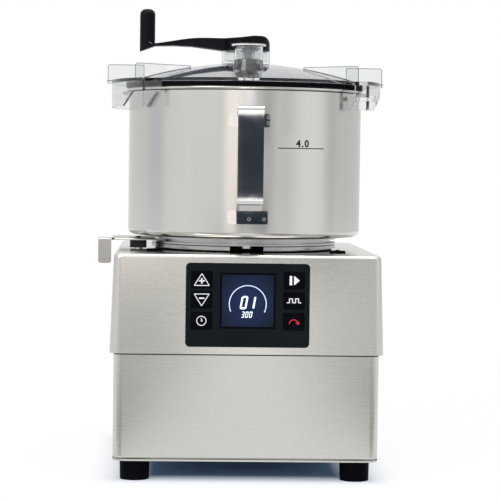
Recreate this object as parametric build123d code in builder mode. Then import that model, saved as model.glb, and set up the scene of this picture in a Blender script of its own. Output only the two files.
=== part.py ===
from build123d import *
import os
from math import asin, atan, cos, degrees, radians, sin, sqrt, tan

# A countertop bowl cutter: a two-part steel casing with the motor standing on the bowl axis,
# a steel bowl that lifts off, a two-level cutter on the motor shaft, and a clear lid with a
# stirring lever. Heights are above the table. Plan positions are taken from the bowl axis,
# X to the right, Y to the back.

# Clearances
running_fit = 0.08
part_gap = 0.3
slip_gap = 0.25

# Feet
foot_height = 22.0
foot_diameter = 30.0
foot_tip_diameter = 29.0
foot_spread = 219.5
foot_inset = 20.0
foot_screw_diameter = 5.0
foot_screw_head = 10.0

# Lower casing
lower_width = 263.0
lower_front = 135.0
lower_back = 184.5
lower_corner = 9.0
lower_edge_radius = 3.0
lower_wall = 1.5
lower_flange = 17.0
sole_flange = 42.0
bottom_plate_thickness = 1.5
vent_length = 46.0
vent_width = 4.0
vent_pitch = 11.0
vent_rows = 4
vent_height = 104.0

# Upper casing
upper_width = 271.0
upper_top_width = 264.0
upper_overhang = 6.0
upper_height = 98.0
upper_lap = 10.0
upper_corner = 11.0
upper_edge_radius = 4.0
upper_wall = 2.0
boss_diameter = 10.0
boss_inset = 11.0
boss_middle_row = 72.0
casing_screw_diameter = 4.0
casing_screw_head = 7.5
casing_screw_length = 12.0

# Control panel, measured in its own plane
panel_width = 122.0
panel_height = 82.5
panel_corner = 4.3
panel_thickness = 1.6
panel_lift = 48.5
panel_margin = 3.5
key_width = 20.3
key_height = 16.5
key_corner = 1.2
key_proud = 0.5
key_gap = 0.35
key_lip = 1.2
key_lip_thickness = 1.5
key_column = 45.4
key_rows = (24.8, 5.0, -15.6)
key_stem_radius = 3.0
key_travel = 0.6
switch_width = 6.0
switch_height = 4.0
display_side = 55.6
display_rise = 4.4
display_corner = 1.5
screen_thickness = 6.0
board_depth = 12.0
board_thickness = 1.6
stud_radius = 2.4
stud_column = 31.5
stud_row = 34.5

# Ring and stud that carry the bowl
ring_diameter = 193.0
ring_bore = 124.0
ring_foot_diameter = 180.0
ring_foot_height = 2.6
ring_height = 6.4
ring_gap_width = 34.0
ring_screw_circle = 76.0
ring_screw_diameter = 5.0
ring_screw_head = 9.5
stud_diameter = 12.6
stud_circle = 81.0
stud_height = 9.5
pad_column = 93.0
pad_row = -77.0
pad_width = 16.0
pad_depth = 9.0
pad_height = 2.5
pad_boss_radius = 2.2

# Bowl
bowl_radius = 121.25
bowl_wall = 1.2
bowl_height = 151.7
bowl_corner = 5.75
bead_radius = 1.6
disc_thickness = 6.8
disc_pad_height = 1.5
disc_pad_radius = 88.0
groove_height = 3.2
groove_depth = 7.0
groove_rise = 1.9
notch_width = 6.0
notch_offset = 13.0
chimney_radius = 16.0
chimney_wall = 1.2
chimney_height = 57.0
lug_depth = 7.75
lug_height = 4.0
lug_sweep = 12.0

# Bowl handle
handle_width = 25.3
handle_thickness = 2.0
handle_reach = 42.0
handle_top_drop = 20.7
handle_root_drop = 27.7
handle_bottom_rise = 35.0
handle_root_rise = 28.0
handle_bend = 9.0
handle_shoulder = 12.6
tab_width = 40.8
tab_height = 13.4
tab_thickness = 1.6
tab_corner = 3.0

# Latch lever beside the bowl
latch_pivot = (-110.0, -24.0)
latch_thickness = 2.0
latch_reach = 151.0
latch_tab_width = 13.4
latch_front = 37.0
latch_back = 37.0
latch_side = 137.6
latch_root = 17.0
latch_drop = 26.0
latch_gap = 0.8
latch_corner = 3.0
latch_screw_radius = 1.75
latch_screw_socket = 1.3
latch_screw_head = 2.7
latch_screw_head_height = 1.6
latch_post_radius = 4.5
magnet_width = 17.0
magnet_depth = 16.0
magnet_lift = 1.3
sensor_height = 6.0

# Motor
shaft_radius = 11.0
shaft_tip_above_chimney = 15.0
shaft_flat = 17.0
shaft_flat_length = 13.0
shaft_core_radius = 16.0
upper_bearing_bore = 12.5
upper_bearing_radius = 26.0
upper_bearing_height = 15.0
lower_bearing_bore = 10.0
lower_bearing_radius = 23.5
lower_bearing_height = 14.0
bearing_groove = 1.0
flange_radius = 85.0
flange_thickness = 10.0
flange_hub_wall = 8.0
seal_radius = 16.0
seal_height = 8.0
spigot_wall = 3.8
spigot_height = 5.0
housing_radius = 72.0
housing_wall = 4.0
housing_length = 147.0
fan_floor_gap = 6.7
bell_thickness = 8.0
stack_rise = 29.0
stack_top_gap = 33.0
rotor_radius = 38.0
air_gap = 0.5
winding_height = 13.0
winding_inner = 43.0
winding_outer = 63.0
end_ring_height = 5.0
end_ring_inner = 24.0
end_ring_outer = 36.0
fan_radius = 58.0
fan_height = 12.0
fan_plate = 2.0
fan_hub_radius = 14.0
fan_seat_radius = 8.5
fan_blades = 9
drive_box_width = 150.0
drive_box_depth = 40.0
drive_box_height = 66.0
drive_fin_depth = 9.0
drive_fin_pitch = 10.0
drive_fin_count = 13
gland_offset = 90.0
gland_height = 48.0
gland_radius = 10.0
gland_length = 11.0
gland_bore = 4.5

# Cutter
hub_radius = 21.0
hub_gap = 1.0
hub_floor_gap = 2.2
hub_foot_radius = 30.0
hub_foot_height = 3.5
hub_neck_radius = 17.0
hub_cap = 7.0
blade_thickness = 2.5
lower_blade_reach = 114.0
upper_blade_reach = 103.0
blade_sweep = 34.0
blade_bow = 13.0
bevel_depth = 1.9
bevel_width = 5.0
spacer_height = 23.0
spacer_wall = 6.0
nut_height = 10.0
nut_wall = 7.0
knob_radius = 20.0
knob_height = 13.0
knob_waist = 13.0

# Lid
gasket_height = 4.3
gasket_outer = 124.6
lid_radius = 126.0
lid_flange = 3.5
lid_wall = 3.0
dome_radius = 118.0
dome_rise = 19.5
seat_radius = 27.0
lip_height = 7.0
lip_wall = 2.7
lip_gap = 0.85
spindle_radius = 8.0
lid_hub_radius = 25.25
lid_hub_height = 13.8
lid_hub_wall = 2.75
lid_hub_boss = 12.5
tube_row = 76.0
tube_radius = 14.25
tube_wall = 2.0
tube_top_above_flange = 33.5
tube_foot_radius = 16.0
cap_radius = 17.15
cap_thickness = 2.0
cap_neck = 8.75
cap_plug_depth = 14.0
cap_plug_wall = 2.4
fin_thickness = 2.4
fin_height = 17.1
fin_corner = 3.0
front_fin_row = -42.0
front_fin_outer = 115.0
front_fin_inner = 58.0
rear_fin_row = 8.0
fin_reach = 144.5
wing_start = -29.6
wing_sweep = 69.9
skirt_thickness = 3.4
right_skirt_radius = 141.0
left_skirt_radius = 139.5
skirt_drop = 25.5
skirt_shallow_drop = 7.6
ledge_height = 3.5
ledge_sweep = 9.8
end_plate_sweep = 1.8
front_plate_row = -90.0
front_plate_outer = 106.0
front_plate_inner = 87.0
front_plate_slant = 7.0
front_plate_step = 14.5
right_skirt_slant = 11.0
left_skirt_slant = 10.0
fin_sink = 0.5
fin_root = 106.2

# Stirring lever
lever_hub_radius = 24.9
lever_rise = 14.0
arm_end = 103.2
arm_root_half = 12.0
arm_tip_half = 8.0
arm_ridge_rise = 4.4
arm_tip_drop = 2.2
arm_cap_gap = 0.6
arm_cap_margin = 2.0
grip_radius = 8.0
grip_height = 42.3
grip_edge = 6.0
spindle_head_radius = 6.0
spindle_head_height = 8.0
spindle_tail = 12.0
scraper_hub_radius = 14.0
scraper_hub_gap = 0.4
arm_bar_width = 10.0
arm_bar_height = 6.0
arm_bar_rise = 1.0
post_inner = 104.0
post_outer = 111.0
post_width = 8.0
post_length = 92.0
scraper_reach = 118.4
scraper_width = 4.0
scraper_lift = 22.0
retainer_radius = 7.0
retainer_height = 3.0

# Heights that follow from the sizes above
casing_bottom = foot_height
floor_thickness = lower_wall + bottom_plate_thickness
shell_height = fan_floor_gap + fan_height + part_gap + lower_bearing_height + bell_thickness
shell_height += housing_length + flange_thickness
lower_height = floor_thickness + shell_height + upper_wall + upper_lap - upper_height
lower_top = casing_bottom + lower_height
upper_bottom = lower_top - upper_lap
deck = upper_bottom + upper_height
deck_under = deck - upper_wall
casing_taper = degrees(atan((upper_width - upper_top_width) / 2 / upper_height))
upper_front = lower_front + upper_overhang
upper_back = lower_back + upper_overhang - 0.5
upper_depth = upper_front + upper_back
upper_middle = (upper_back - upper_front) / 2
lower_depth = lower_front + lower_back
lower_middle = (lower_back - lower_front) / 2
inside_floor = casing_bottom + floor_thickness
ring_top = deck + ring_height
disc_bottom = ring_top + part_gap
disc_top = disc_bottom + disc_thickness
groove_bottom = disc_bottom + groove_rise
bowl_bottom = disc_top + disc_pad_height
bowl_rim = bowl_bottom + bowl_height
inner_radius = bowl_radius - bowl_wall
handle_top = bowl_rim - handle_top_drop
handle_bottom = bowl_bottom + handle_bottom_rise
handle_root_top = bowl_rim - handle_root_drop
handle_root_bottom = bowl_bottom + handle_root_rise
scraper_bottom = bowl_bottom + scraper_lift
chimney_top = bowl_bottom + chimney_height
shaft_top = chimney_top + shaft_tip_above_chimney
lug_top = bowl_rim - 2 * bead_radius
ledge_top = lug_top - lug_height - 3 * part_gap
flange_under = bowl_rim + gasket_height
flange_top = flange_under + lid_flange
dome_top = flange_top + dome_rise
dome_curve = (dome_radius**2 + dome_rise**2) / (2 * dome_rise)
dome_centre = dome_top - dome_curve
lip_outer = inner_radius - lip_gap
lip_inner = lip_outer - lip_wall
lip_bottom = flange_under - lip_height
seat_top = dome_centre + sqrt(dome_curve**2 - seat_radius**2)
seat_under = seat_top - lid_wall
hub_top = seat_top + lid_hub_height
lever_under = hub_top + part_gap
lever_top = lever_under + lever_rise
arm_ridge = lever_under + arm_ridge_rise
arm_tip_under = lever_under - arm_tip_drop
grip_top = lever_under + grip_height
tube_top = flange_top + tube_top_above_flange
fin_top = flange_top + fin_height
latch_level = groove_bottom + (groove_height - latch_thickness) / 2
handle_front = bowl_radius + handle_reach

# The origin is the middle of the footprint at table height, so the bowl axis stands off it
left_reach = max(latch_reach, fin_reach)
right_reach = max(fin_reach, upper_width / 2)
back_reach = max(upper_back, lower_back + gland_length)
axis_x = (left_reach - right_reach) / 2
axis_y = (handle_front - back_reach) / 2


def level(height):
    """A flat plane about the bowl axis at a height above the table."""
    return Plane(origin=(axis_x, axis_y, height))


def upright(row=0.0):
    """A plane facing the front: its x is the part's X and its y is the height."""
    return Plane(origin=(axis_x, axis_y + row, 0), x_dir=(1, 0, 0), z_dir=(0, -1, 0))


def sideways(column=0.0):
    """A plane facing right: its x is the part's Y and its y is the height."""
    return Plane(origin=(axis_x + column, axis_y, 0), x_dir=(0, 1, 0), z_dir=(1, 0, 0))


spin = Axis((axis_x, axis_y, 0), (0, 0, 1))


def ring_sector(inner, outer, start, sweep):
    """A flat piece of a ring, between two radii and two angles."""
    with BuildSketch() as shape:
        with BuildLine():
            near = CenterArc((0, 0), inner, start, sweep)
            far = CenterArc((0, 0), outer, start, sweep)
            Line(near @ 0, far @ 0)
            Line(near @ 1, far @ 1)
        make_face()
    return shape.sketch


def turned_section(points):
    """A closed section of radius and height points, to be turned about the bowl axis."""
    with BuildSketch() as shape:
        with BuildLine():
            Polyline(*points, close=True)
        make_face()
    return shape.sketch


def finish(builder, name):
    """Name a finished piece and write its file."""
    builder.part.label = name
    export_step(builder.part, f"parts/{name}.step")


os.makedirs("parts", exist_ok=True)

# Feet and their screws
foot_rows = (-(lower_front - foot_inset), lower_back - foot_inset)
foot_places = [(side * foot_spread / 2, row) for side in (-1, 1) for row in foot_rows]
foot_recess = foot_height / 2
foot_taper = degrees(atan((foot_diameter - foot_tip_diameter) / 2 / foot_height))

with BuildPart() as rubber_feet:
    with BuildSketch(level(0)):
        with Locations(*foot_places):
            Circle(foot_tip_diameter / 2)
    extrude(amount=foot_height, taper=-foot_taper)
    with BuildSketch(level(0)):
        with Locations(*foot_places):
            Circle(foot_screw_head / 2 + slip_gap)
    extrude(amount=foot_recess, mode=Mode.SUBTRACT)
    with BuildSketch(level(foot_recess)):
        with Locations(*foot_places):
            Circle(foot_screw_diameter / 2 + slip_gap)
    extrude(amount=foot_height - foot_recess, mode=Mode.SUBTRACT)
finish(rubber_feet, "rubber_feet")

with BuildPart() as foot_screws:
    with BuildSketch(level(foot_recess - foot_screw_head / 3)):
        with Locations(*foot_places):
            Circle(foot_screw_head / 2)
    extrude(amount=foot_screw_head / 3)
    with BuildSketch(level(foot_recess)):
        with Locations(*foot_places):
            Circle(foot_screw_diameter / 2)
    extrude(amount=inside_floor + 2 - foot_recess)
finish(foot_screws, "foot_screws")


# Lower casing: an open sheet tray with a flange round its top and its sole
def lower_outline(margin):
    """The lower casing's plan, smaller by a margin all round."""
    with BuildSketch() as shape:
        with Locations((0, lower_middle)):
            RectangleRounded(
                lower_width - 2 * margin,
                lower_depth - 2 * margin,
                max(lower_corner - margin, 1.0),
            )
    return shape.sketch


boss_x = lower_width / 2 - boss_inset
boss_rows = (-(lower_front - boss_inset), boss_middle_row, lower_back - boss_inset)
boss_places = [(side * boss_x, row) for side in (-1, 1) for row in boss_rows]

with BuildPart() as lower_casing:
    with BuildSketch(level(casing_bottom)):
        add(lower_outline(0))
    extrude(amount=lower_height)
    fillet(lower_casing.faces().sort_by(Axis.Z)[0].edges(), lower_edge_radius)
    with BuildSketch(level(casing_bottom + lower_wall)):
        add(lower_outline(lower_wall))
    extrude(amount=lower_height - 2 * lower_wall, mode=Mode.SUBTRACT)
    with BuildSketch(level(lower_top)):
        add(lower_outline(lower_flange))
    extrude(amount=-lower_wall, mode=Mode.SUBTRACT)
    with BuildSketch(level(casing_bottom)):
        add(lower_outline(sole_flange))
    extrude(amount=lower_wall, mode=Mode.SUBTRACT)
    with BuildSketch(level(casing_bottom)):
        with Locations(*foot_places):
            Circle(foot_screw_diameter / 2 + slip_gap)
    extrude(amount=lower_wall, mode=Mode.SUBTRACT)
    with BuildSketch(level(lower_top)):
        with Locations(*boss_places):
            Circle(casing_screw_diameter / 2 + slip_gap)
    extrude(amount=-lower_wall, mode=Mode.SUBTRACT)
    with BuildSketch(upright(lower_back - lower_wall)):
        with Locations((0, vent_height)):
            with GridLocations(vent_length * 1.25, vent_pitch, 3, vent_rows):
                SlotOverall(vent_length, vent_width)
        with Locations((gland_offset, gland_height)):
            Circle(gland_radius - lower_wall)
    extrude(amount=-lower_wall, mode=Mode.SUBTRACT)
finish(lower_casing, "lower_casing")

with BuildPart() as bottom_plate:
    with BuildSketch(level(casing_bottom + lower_wall)):
        add(lower_outline(lower_wall + part_gap))
        with Locations(*foot_places):
            Circle(foot_screw_diameter / 2 + slip_gap, mode=Mode.SUBTRACT)
        with Locations((0, lower_middle)):
            with GridLocations(vent_length * 1.25, vent_pitch, 2, 2 * vent_rows):
                SlotOverall(vent_length, vent_width, mode=Mode.SUBTRACT)
    extrude(amount=bottom_plate_thickness)
finish(bottom_plate, "bottom_plate")


# Upper casing: a drawn cover that laps over the lower one and carries the bowl on its deck
def upper_outline(margin):
    """The upper casing's plan at its lower edge, smaller by a margin all round."""
    with BuildSketch() as shape:
        with Locations((0, upper_middle)):
            RectangleRounded(
                upper_width - 2 * margin,
                upper_depth - 2 * margin,
                upper_corner - margin,
            )
    return shape.sketch


lean = radians(casing_taper)
panel_centre = upper_bottom + panel_lift
panel_origin_row = -upper_front + panel_lift * tan(lean)


def panel_level(depth):
    """A plane beside the casing's sloping front, at a distance out from its surface."""
    normal = (0, -cos(lean), sin(lean))
    return Plane(
        origin=(axis_x, axis_y + panel_origin_row, panel_centre),
        x_dir=(1, 0, 0),
        z_dir=normal,
    ).offset(depth)


window_width = panel_width - 2 * panel_margin
window_height = panel_height - 2 * panel_margin
opening_top = spigot_wall + seal_radius + slip_gap
ring_screw_places = [
    (ring_screw_circle * cos(radians(turn)), ring_screw_circle * sin(radians(turn)))
    for turn in (45, 135, 225, 315)
]

with BuildPart() as upper_casing:
    with BuildSketch(level(upper_bottom)):
        add(upper_outline(0))
    extrude(amount=upper_height, taper=casing_taper)
    fillet(upper_casing.faces().sort_by(Axis.Z)[-1].edges(), upper_edge_radius)
    with BuildSketch(level(upper_bottom)):
        add(upper_outline(upper_wall))
    extrude(amount=upper_height - upper_wall, taper=casing_taper, mode=Mode.SUBTRACT)
    with BuildSketch(level(lower_top)):
        with Locations(*boss_places):
            Circle(boss_diameter / 2)
    extrude(amount=deck_under - lower_top)
    with BuildSketch(level(lower_top)):
        with Locations(*boss_places):
            Circle(casing_screw_diameter / 2)
    extrude(amount=casing_screw_length, mode=Mode.SUBTRACT)
    with BuildSketch(level(deck_under)):
        Circle(opening_top)
        with Locations(*ring_screw_places):
            Circle(ring_screw_diameter / 2 + slip_gap)
    extrude(amount=upper_wall, mode=Mode.SUBTRACT)
    with BuildSketch(panel_level(0)):
        Rectangle(window_width, window_height)
    extrude(amount=-2 * upper_wall, mode=Mode.SUBTRACT)
finish(upper_casing, "upper_casing")

with BuildPart() as casing_screws:
    with BuildSketch(level(lower_top - lower_wall)):
        with Locations(*boss_places):
            Circle(casing_screw_head / 2)
    extrude(amount=-casing_screw_diameter / 2)
    with BuildSketch(level(lower_top - lower_wall)):
        with Locations(*boss_places):
            Circle(casing_screw_diameter / 2)
    extrude(amount=casing_screw_length)
finish(casing_screws, "casing_screws")

# Control panel with its keys, display and board
key_names = {
    (-1, 0): "key_plus",
    (-1, 1): "key_minus",
    (-1, 2): "key_timer",
    (1, 0): "key_start",
    (1, 1): "key_pulse",
    (1, 2): "key_reverse",
}
key_places = {
    name: (side * key_column, key_rows[row]) for (side, row), name in key_names.items()
}
stud_places = [(x, y) for x in (-stud_column, stud_column) for y in (-stud_row, stud_row)]

with BuildPart() as control_panel:
    with BuildSketch(panel_level(0)):
        RectangleRounded(panel_width, panel_height, panel_corner)
        with Locations(*key_places.values()):
            RectangleRounded(
                key_width + 2 * key_gap,
                key_height + 2 * key_gap,
                key_corner + key_gap,
                mode=Mode.SUBTRACT,
            )
        with Locations((0, display_rise)):
            RectangleRounded(display_side, display_side, display_corner, mode=Mode.SUBTRACT)
    extrude(amount=panel_thickness)
    with BuildSketch(panel_level(0)):
        with Locations(*stud_places):
            Circle(stud_radius)
    extrude(amount=-board_depth)
finish(control_panel, "control_panel")

with BuildPart() as display_window:
    with BuildSketch(panel_level(0)):
        with Locations((0, display_rise)):
            RectangleRounded(display_side, display_side, display_corner)
    extrude(amount=panel_thickness)
finish(display_window, "display_window")

with BuildPart() as display_module:
    with BuildSketch(panel_level(0)):
        with Locations((0, display_rise)):
            Rectangle(display_side - 4 * key_lip, display_side - 4 * key_lip)
    extrude(amount=-screen_thickness)
    with BuildSketch(panel_level(-screen_thickness)):
        with Locations((0, display_rise)):
            Rectangle(display_side - 8 * key_lip, display_side / 4)
    extrude(amount=screen_thickness - board_depth)
finish(display_module, "display_module")

with BuildPart() as control_board:
    with BuildSketch(panel_level(-board_depth)):
        Rectangle(window_width - 2 * part_gap, window_height - 2 * part_gap)
    extrude(amount=-board_thickness)
    with BuildSketch(panel_level(-board_depth)):
        with Locations(*key_places.values()):
            Rectangle(switch_width, switch_width)
    extrude(amount=switch_height)
finish(control_board, "control_board")

stem_end = board_depth - switch_height - key_travel - slip_gap
for name, place in key_places.items():
    with BuildPart() as key:
        with BuildSketch(panel_level(-part_gap)):
            with Locations(place):
                RectangleRounded(key_width, key_height, key_corner)
        extrude(amount=part_gap + panel_thickness + key_proud)
        fillet(key.faces().sort_by(Axis.Y)[0].edges(), key_proud * 0.8)
        with BuildSketch(panel_level(-part_gap)):
            with Locations(place):
                Rectangle(key_width + 2 * key_lip, key_height + 2 * key_lip)
        extrude(amount=-key_lip_thickness)
        with BuildSketch(panel_level(-part_gap - key_lip_thickness)):
            with Locations(place):
                Circle(key_stem_radius)
        extrude(amount=part_gap + key_lip_thickness - stem_end)
    finish(key, name)

# Ring on the deck that the bowl stands on, with the stud that keeps the bowl from turning
with BuildPart() as support_ring:
    with BuildSketch(level(deck)):
        Circle(ring_foot_diameter / 2)
        Circle(ring_bore / 2, mode=Mode.SUBTRACT)
    extrude(amount=ring_foot_height)
    with BuildSketch(level(deck + ring_foot_height)):
        Circle(ring_diameter / 2)
        Circle(ring_bore / 2, mode=Mode.SUBTRACT)
    extrude(amount=ring_height - ring_foot_height)
    chamfer(support_ring.faces().sort_by(Axis.Z)[-1].edges(), ring_height / 10)
    with BuildSketch(level(deck)):
        Rectangle(ring_gap_width, ring_diameter, align=(Align.CENTER, Align.MAX))
    extrude(amount=ring_height, mode=Mode.SUBTRACT)
    with Locations(*[level(ring_top) * Location((x, y, 0)) for x, y in ring_screw_places]):
        CounterSinkHole(
            ring_screw_diameter / 2 + slip_gap,
            ring_screw_head / 2 + slip_gap,
            depth=ring_height,
            counter_sink_angle=90,
        )
finish(support_ring, "support_ring")

with BuildPart() as ring_screws:
    head_depth = (ring_screw_head - ring_screw_diameter) / 2
    with BuildSketch(level(ring_top - slip_gap)):
        with Locations(*ring_screw_places):
            Circle(ring_screw_head / 2)
    extrude(amount=-head_depth, taper=45)
    with BuildSketch(level(ring_top - slip_gap)):
        with Locations(*ring_screw_places):
            Circle(ring_screw_diameter / 2)
    extrude(amount=-(ring_height + upper_wall + flange_thickness - slip_gap))
finish(ring_screws, "ring_screws")

with BuildPart() as bowl_stud:
    with BuildSketch(level(deck)):
        with Locations((0, -stud_circle)):
            Circle(stud_diameter / 2)
    extrude(amount=stud_height)
    chamfer(bowl_stud.faces().sort_by(Axis.Z)[-1].edges(), stud_diameter / 14)
finish(bowl_stud, "bowl_stud")

with BuildPart() as deck_pads:
    with BuildSketch(level(deck)):
        with Locations((-pad_column, pad_row), (pad_column, pad_row)):
            RectangleRounded(pad_width, pad_depth, pad_depth / 5)
    extrude(amount=pad_height)
    chamfer(deck_pads.faces().sort_by(Axis.Z)[-2:].edges(), pad_height / 4)
    with BuildSketch(level(deck + pad_height)):
        with Locations((pad_column, pad_row)):
            Circle(pad_boss_radius)
    extrude(amount=pad_height / 3)
finish(deck_pads, "deck_pads")

# Latch: a bent plate on a post, whose curved edge swings into the groove of the bowl's disc
disc_radius = ring_diameter / 2

with BuildPart() as latch_lever:
    with BuildSketch(level(latch_level)):
        with BuildLine():
            Polyline(
                (-latch_reach, -latch_front),
                (0, -latch_front),
                (0, latch_back),
                (-latch_side, latch_back),
                (-latch_side, -latch_root),
                (-latch_reach, -latch_root),
                close=True,
            )
        make_face()
        Circle(disc_radius + latch_gap, mode=Mode.SUBTRACT)
        with Locations(latch_pivot):
            Circle(latch_screw_radius + running_fit, mode=Mode.SUBTRACT)
    extrude(amount=latch_thickness)
    fillet(latch_lever.edges().filter_by(Axis.Z).group_by(Axis.X)[0], latch_corner)
    with BuildSketch(upright(-latch_front)):
        with Locations((-latch_reach + latch_tab_width / 2, latch_level + latch_thickness)):
            Rectangle(latch_tab_width, latch_drop, align=(Align.CENTER, Align.MAX))
    extrude(amount=-latch_thickness)
    tab_foot = latch_lever.edges().filter_by(Axis.Y).group_by(Axis.Z)[0]
    fillet(tab_foot, latch_corner)
    front_edge = latch_lever.edges().filter_by(Axis.X).group_by(Axis.Y)[0]
    fillet(front_edge.sort_by(Axis.Z)[-1], latch_thickness * 0.9)
finish(latch_lever, "latch_lever")

with BuildPart() as latch_post:
    with BuildSketch(level(deck)):
        with Locations(latch_pivot):
            Circle(latch_post_radius)
            Circle(latch_screw_radius, mode=Mode.SUBTRACT)
    extrude(amount=latch_level - slip_gap - deck)
finish(latch_post, "latch_post")

with BuildPart() as latch_screw:
    with BuildSketch(level(deck)):
        with Locations(latch_pivot):
            Circle(latch_screw_radius)
    extrude(amount=latch_level + latch_thickness + slip_gap - deck)
    with BuildSketch(level(latch_level + latch_thickness + slip_gap)):
        with Locations(latch_pivot):
            Circle(latch_screw_head)
            RegularPolygon(latch_screw_socket, 6, mode=Mode.SUBTRACT)
    extrude(amount=latch_screw_head_height)
    with BuildSketch(level(latch_level + latch_thickness + slip_gap)):
        with Locations(latch_pivot):
            Circle(latch_screw_head)
    extrude(amount=latch_screw_head_height / 2)
finish(latch_screw, "latch_screw")

with BuildPart() as latch_magnet:
    with BuildSketch(level(deck + magnet_lift)):
        with Locations(latch_pivot):
            RectangleRounded(magnet_width, magnet_depth, 2)
            Circle(latch_post_radius + slip_gap, mode=Mode.SUBTRACT)
    extrude(amount=latch_level - deck - magnet_lift)
finish(latch_magnet, "latch_magnet")

with BuildPart() as latch_sensor:
    with BuildSketch(level(deck_under)):
        with Locations(latch_pivot):
            Rectangle(magnet_width, magnet_depth)
    extrude(amount=-sensor_height)
finish(latch_sensor, "latch_sensor")

# Motor, hung from the deck
flange_bottom = deck_under - flange_thickness
upper_bearing_bottom = flange_bottom - upper_bearing_height
housing_bottom = flange_bottom - housing_length
bell_bottom = housing_bottom - bell_thickness
lower_bearing_bottom = bell_bottom - lower_bearing_height
stack_bottom = housing_bottom + stack_rise
stack_length = housing_length - stack_rise - stack_top_gap
stack_top = stack_bottom + stack_length
fan_bottom = lower_bearing_bottom - part_gap - fan_height
housing_bore = housing_radius - housing_wall
seal_seat = deck + spigot_height - seal_height
stator_bore = rotor_radius + air_gap

with BuildPart() as motor_flange:
    with BuildSketch(upright()):
        add(
            turned_section(
                [
                    (upper_bearing_radius, upper_bearing_bottom),
                    (upper_bearing_radius + flange_hub_wall, upper_bearing_bottom),
                    (upper_bearing_radius + flange_hub_wall, flange_bottom),
                    (flange_radius, flange_bottom),
                    (flange_radius, deck_under),
                    (seal_radius + spigot_wall, deck_under),
                    (seal_radius + spigot_wall, deck + spigot_height),
                    (seal_radius, deck + spigot_height),
                    (seal_radius, seal_seat),
                    (upper_bearing_bore + part_gap, seal_seat),
                    (upper_bearing_bore + part_gap, flange_bottom),
                    (upper_bearing_radius, flange_bottom),
                ]
            )
        )
    revolve(axis=spin)
    with BuildSketch(level(flange_bottom)):
        with Locations(*ring_screw_places):
            Circle(ring_screw_diameter / 2)
    extrude(amount=flange_thickness, mode=Mode.SUBTRACT)
finish(motor_flange, "motor_flange")

with BuildPart() as motor_housing:
    with BuildSketch(level(housing_bottom)):
        Circle(housing_radius)
        Circle(housing_bore, mode=Mode.SUBTRACT)
    extrude(amount=housing_length)
finish(motor_housing, "motor_housing")

with BuildPart() as lower_bell:
    with BuildSketch(upright()):
        add(
            turned_section(
                [
                    (lower_bearing_bore + 2 * lower_wall, housing_bottom),
                    (housing_radius, housing_bottom),
                    (housing_radius, bell_bottom),
                    (lower_bearing_radius + flange_hub_wall, bell_bottom),
                    (lower_bearing_radius + flange_hub_wall / 2, lower_bearing_bottom),
                    (lower_bearing_radius, lower_bearing_bottom),
                    (lower_bearing_radius, bell_bottom),
                    (lower_bearing_bore + 2 * lower_wall, bell_bottom),
                ]
            )
        )
    revolve(axis=spin)
finish(lower_bell, "lower_bell")


def bearing(bore, radius, height, bottom):
    """A ball bearing as one ring, with the seam between its two races in both faces."""
    with BuildPart() as ring:
        with BuildSketch(level(bottom)):
            Circle(radius)
            Circle(bore, mode=Mode.SUBTRACT)
        extrude(amount=height)
        middle = (radius + bore) / 2
        for face in (bottom, bottom + height - bearing_groove):
            with BuildSketch(level(face)):
                Circle(middle + 2 * bearing_groove)
                Circle(middle - 2 * bearing_groove, mode=Mode.SUBTRACT)
            extrude(amount=bearing_groove, mode=Mode.SUBTRACT)
    return ring


upper_bearing = bearing(
    upper_bearing_bore + running_fit / 4,
    upper_bearing_radius,
    upper_bearing_height,
    upper_bearing_bottom,
)
finish(upper_bearing, "upper_bearing")

lower_bearing = bearing(
    lower_bearing_bore + running_fit / 4,
    lower_bearing_radius,
    lower_bearing_height,
    lower_bearing_bottom,
)
finish(lower_bearing, "lower_bearing")

with BuildPart() as shaft_seal:
    with BuildSketch(upright()):
        add(
            turned_section(
                [
                    (shaft_radius + running_fit, seal_seat + seal_height / 2),
                    (shaft_radius + 2, seal_seat),
                    (seal_radius, seal_seat),
                    (seal_radius, seal_seat + seal_height),
                    (shaft_radius + 2, seal_seat + seal_height),
                ]
            )
        )
    revolve(axis=spin)
finish(shaft_seal, "shaft_seal")

with BuildPart() as stator:
    with BuildSketch(level(stack_bottom)):
        Circle(housing_bore)
        Circle(stator_bore, mode=Mode.SUBTRACT)
    extrude(amount=stack_length)
finish(stator, "stator")

with BuildPart() as stator_windings:
    for low in (stack_bottom - winding_height, stack_top):
        with BuildSketch(upright()):
            with Locations(((winding_inner + winding_outer) / 2, low + winding_height / 2)):
                RectangleRounded(winding_outer - winding_inner, winding_height, winding_height / 3)
        revolve(axis=spin)
finish(stator_windings, "stator_windings")

shaft_shoulder = stack_bottom - winding_height
with BuildPart() as drive_shaft:
    with BuildSketch(upright()):
        add(
            turned_section(
                [
                    (0, fan_bottom),
                    (fan_seat_radius, fan_bottom),
                    (fan_seat_radius, lower_bearing_bottom),
                    (lower_bearing_bore, lower_bearing_bottom),
                    (lower_bearing_bore, shaft_shoulder),
                    (shaft_core_radius, shaft_shoulder),
                    (shaft_core_radius, stack_top + end_ring_height),
                    (upper_bearing_bore, stack_top + end_ring_height),
                    (upper_bearing_bore, flange_bottom + slip_gap),
                    (shaft_radius, flange_bottom + slip_gap),
                    (shaft_radius, shaft_top - lower_wall),
                    (shaft_radius - lower_wall, shaft_top),
                    (0, shaft_top),
                ]
            )
        )
    revolve(axis=spin)
    flat_depth = shaft_radius - shaft_flat / 2
    with BuildSketch(level(shaft_top - shaft_flat_length)):
        for side in (-1, 1):
            with Locations((0, side * (shaft_flat / 2 + flat_depth))):
                Rectangle(4 * shaft_radius, 2 * flat_depth)
    extrude(amount=shaft_flat_length, mode=Mode.SUBTRACT)
finish(drive_shaft, "drive_shaft")

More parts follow.
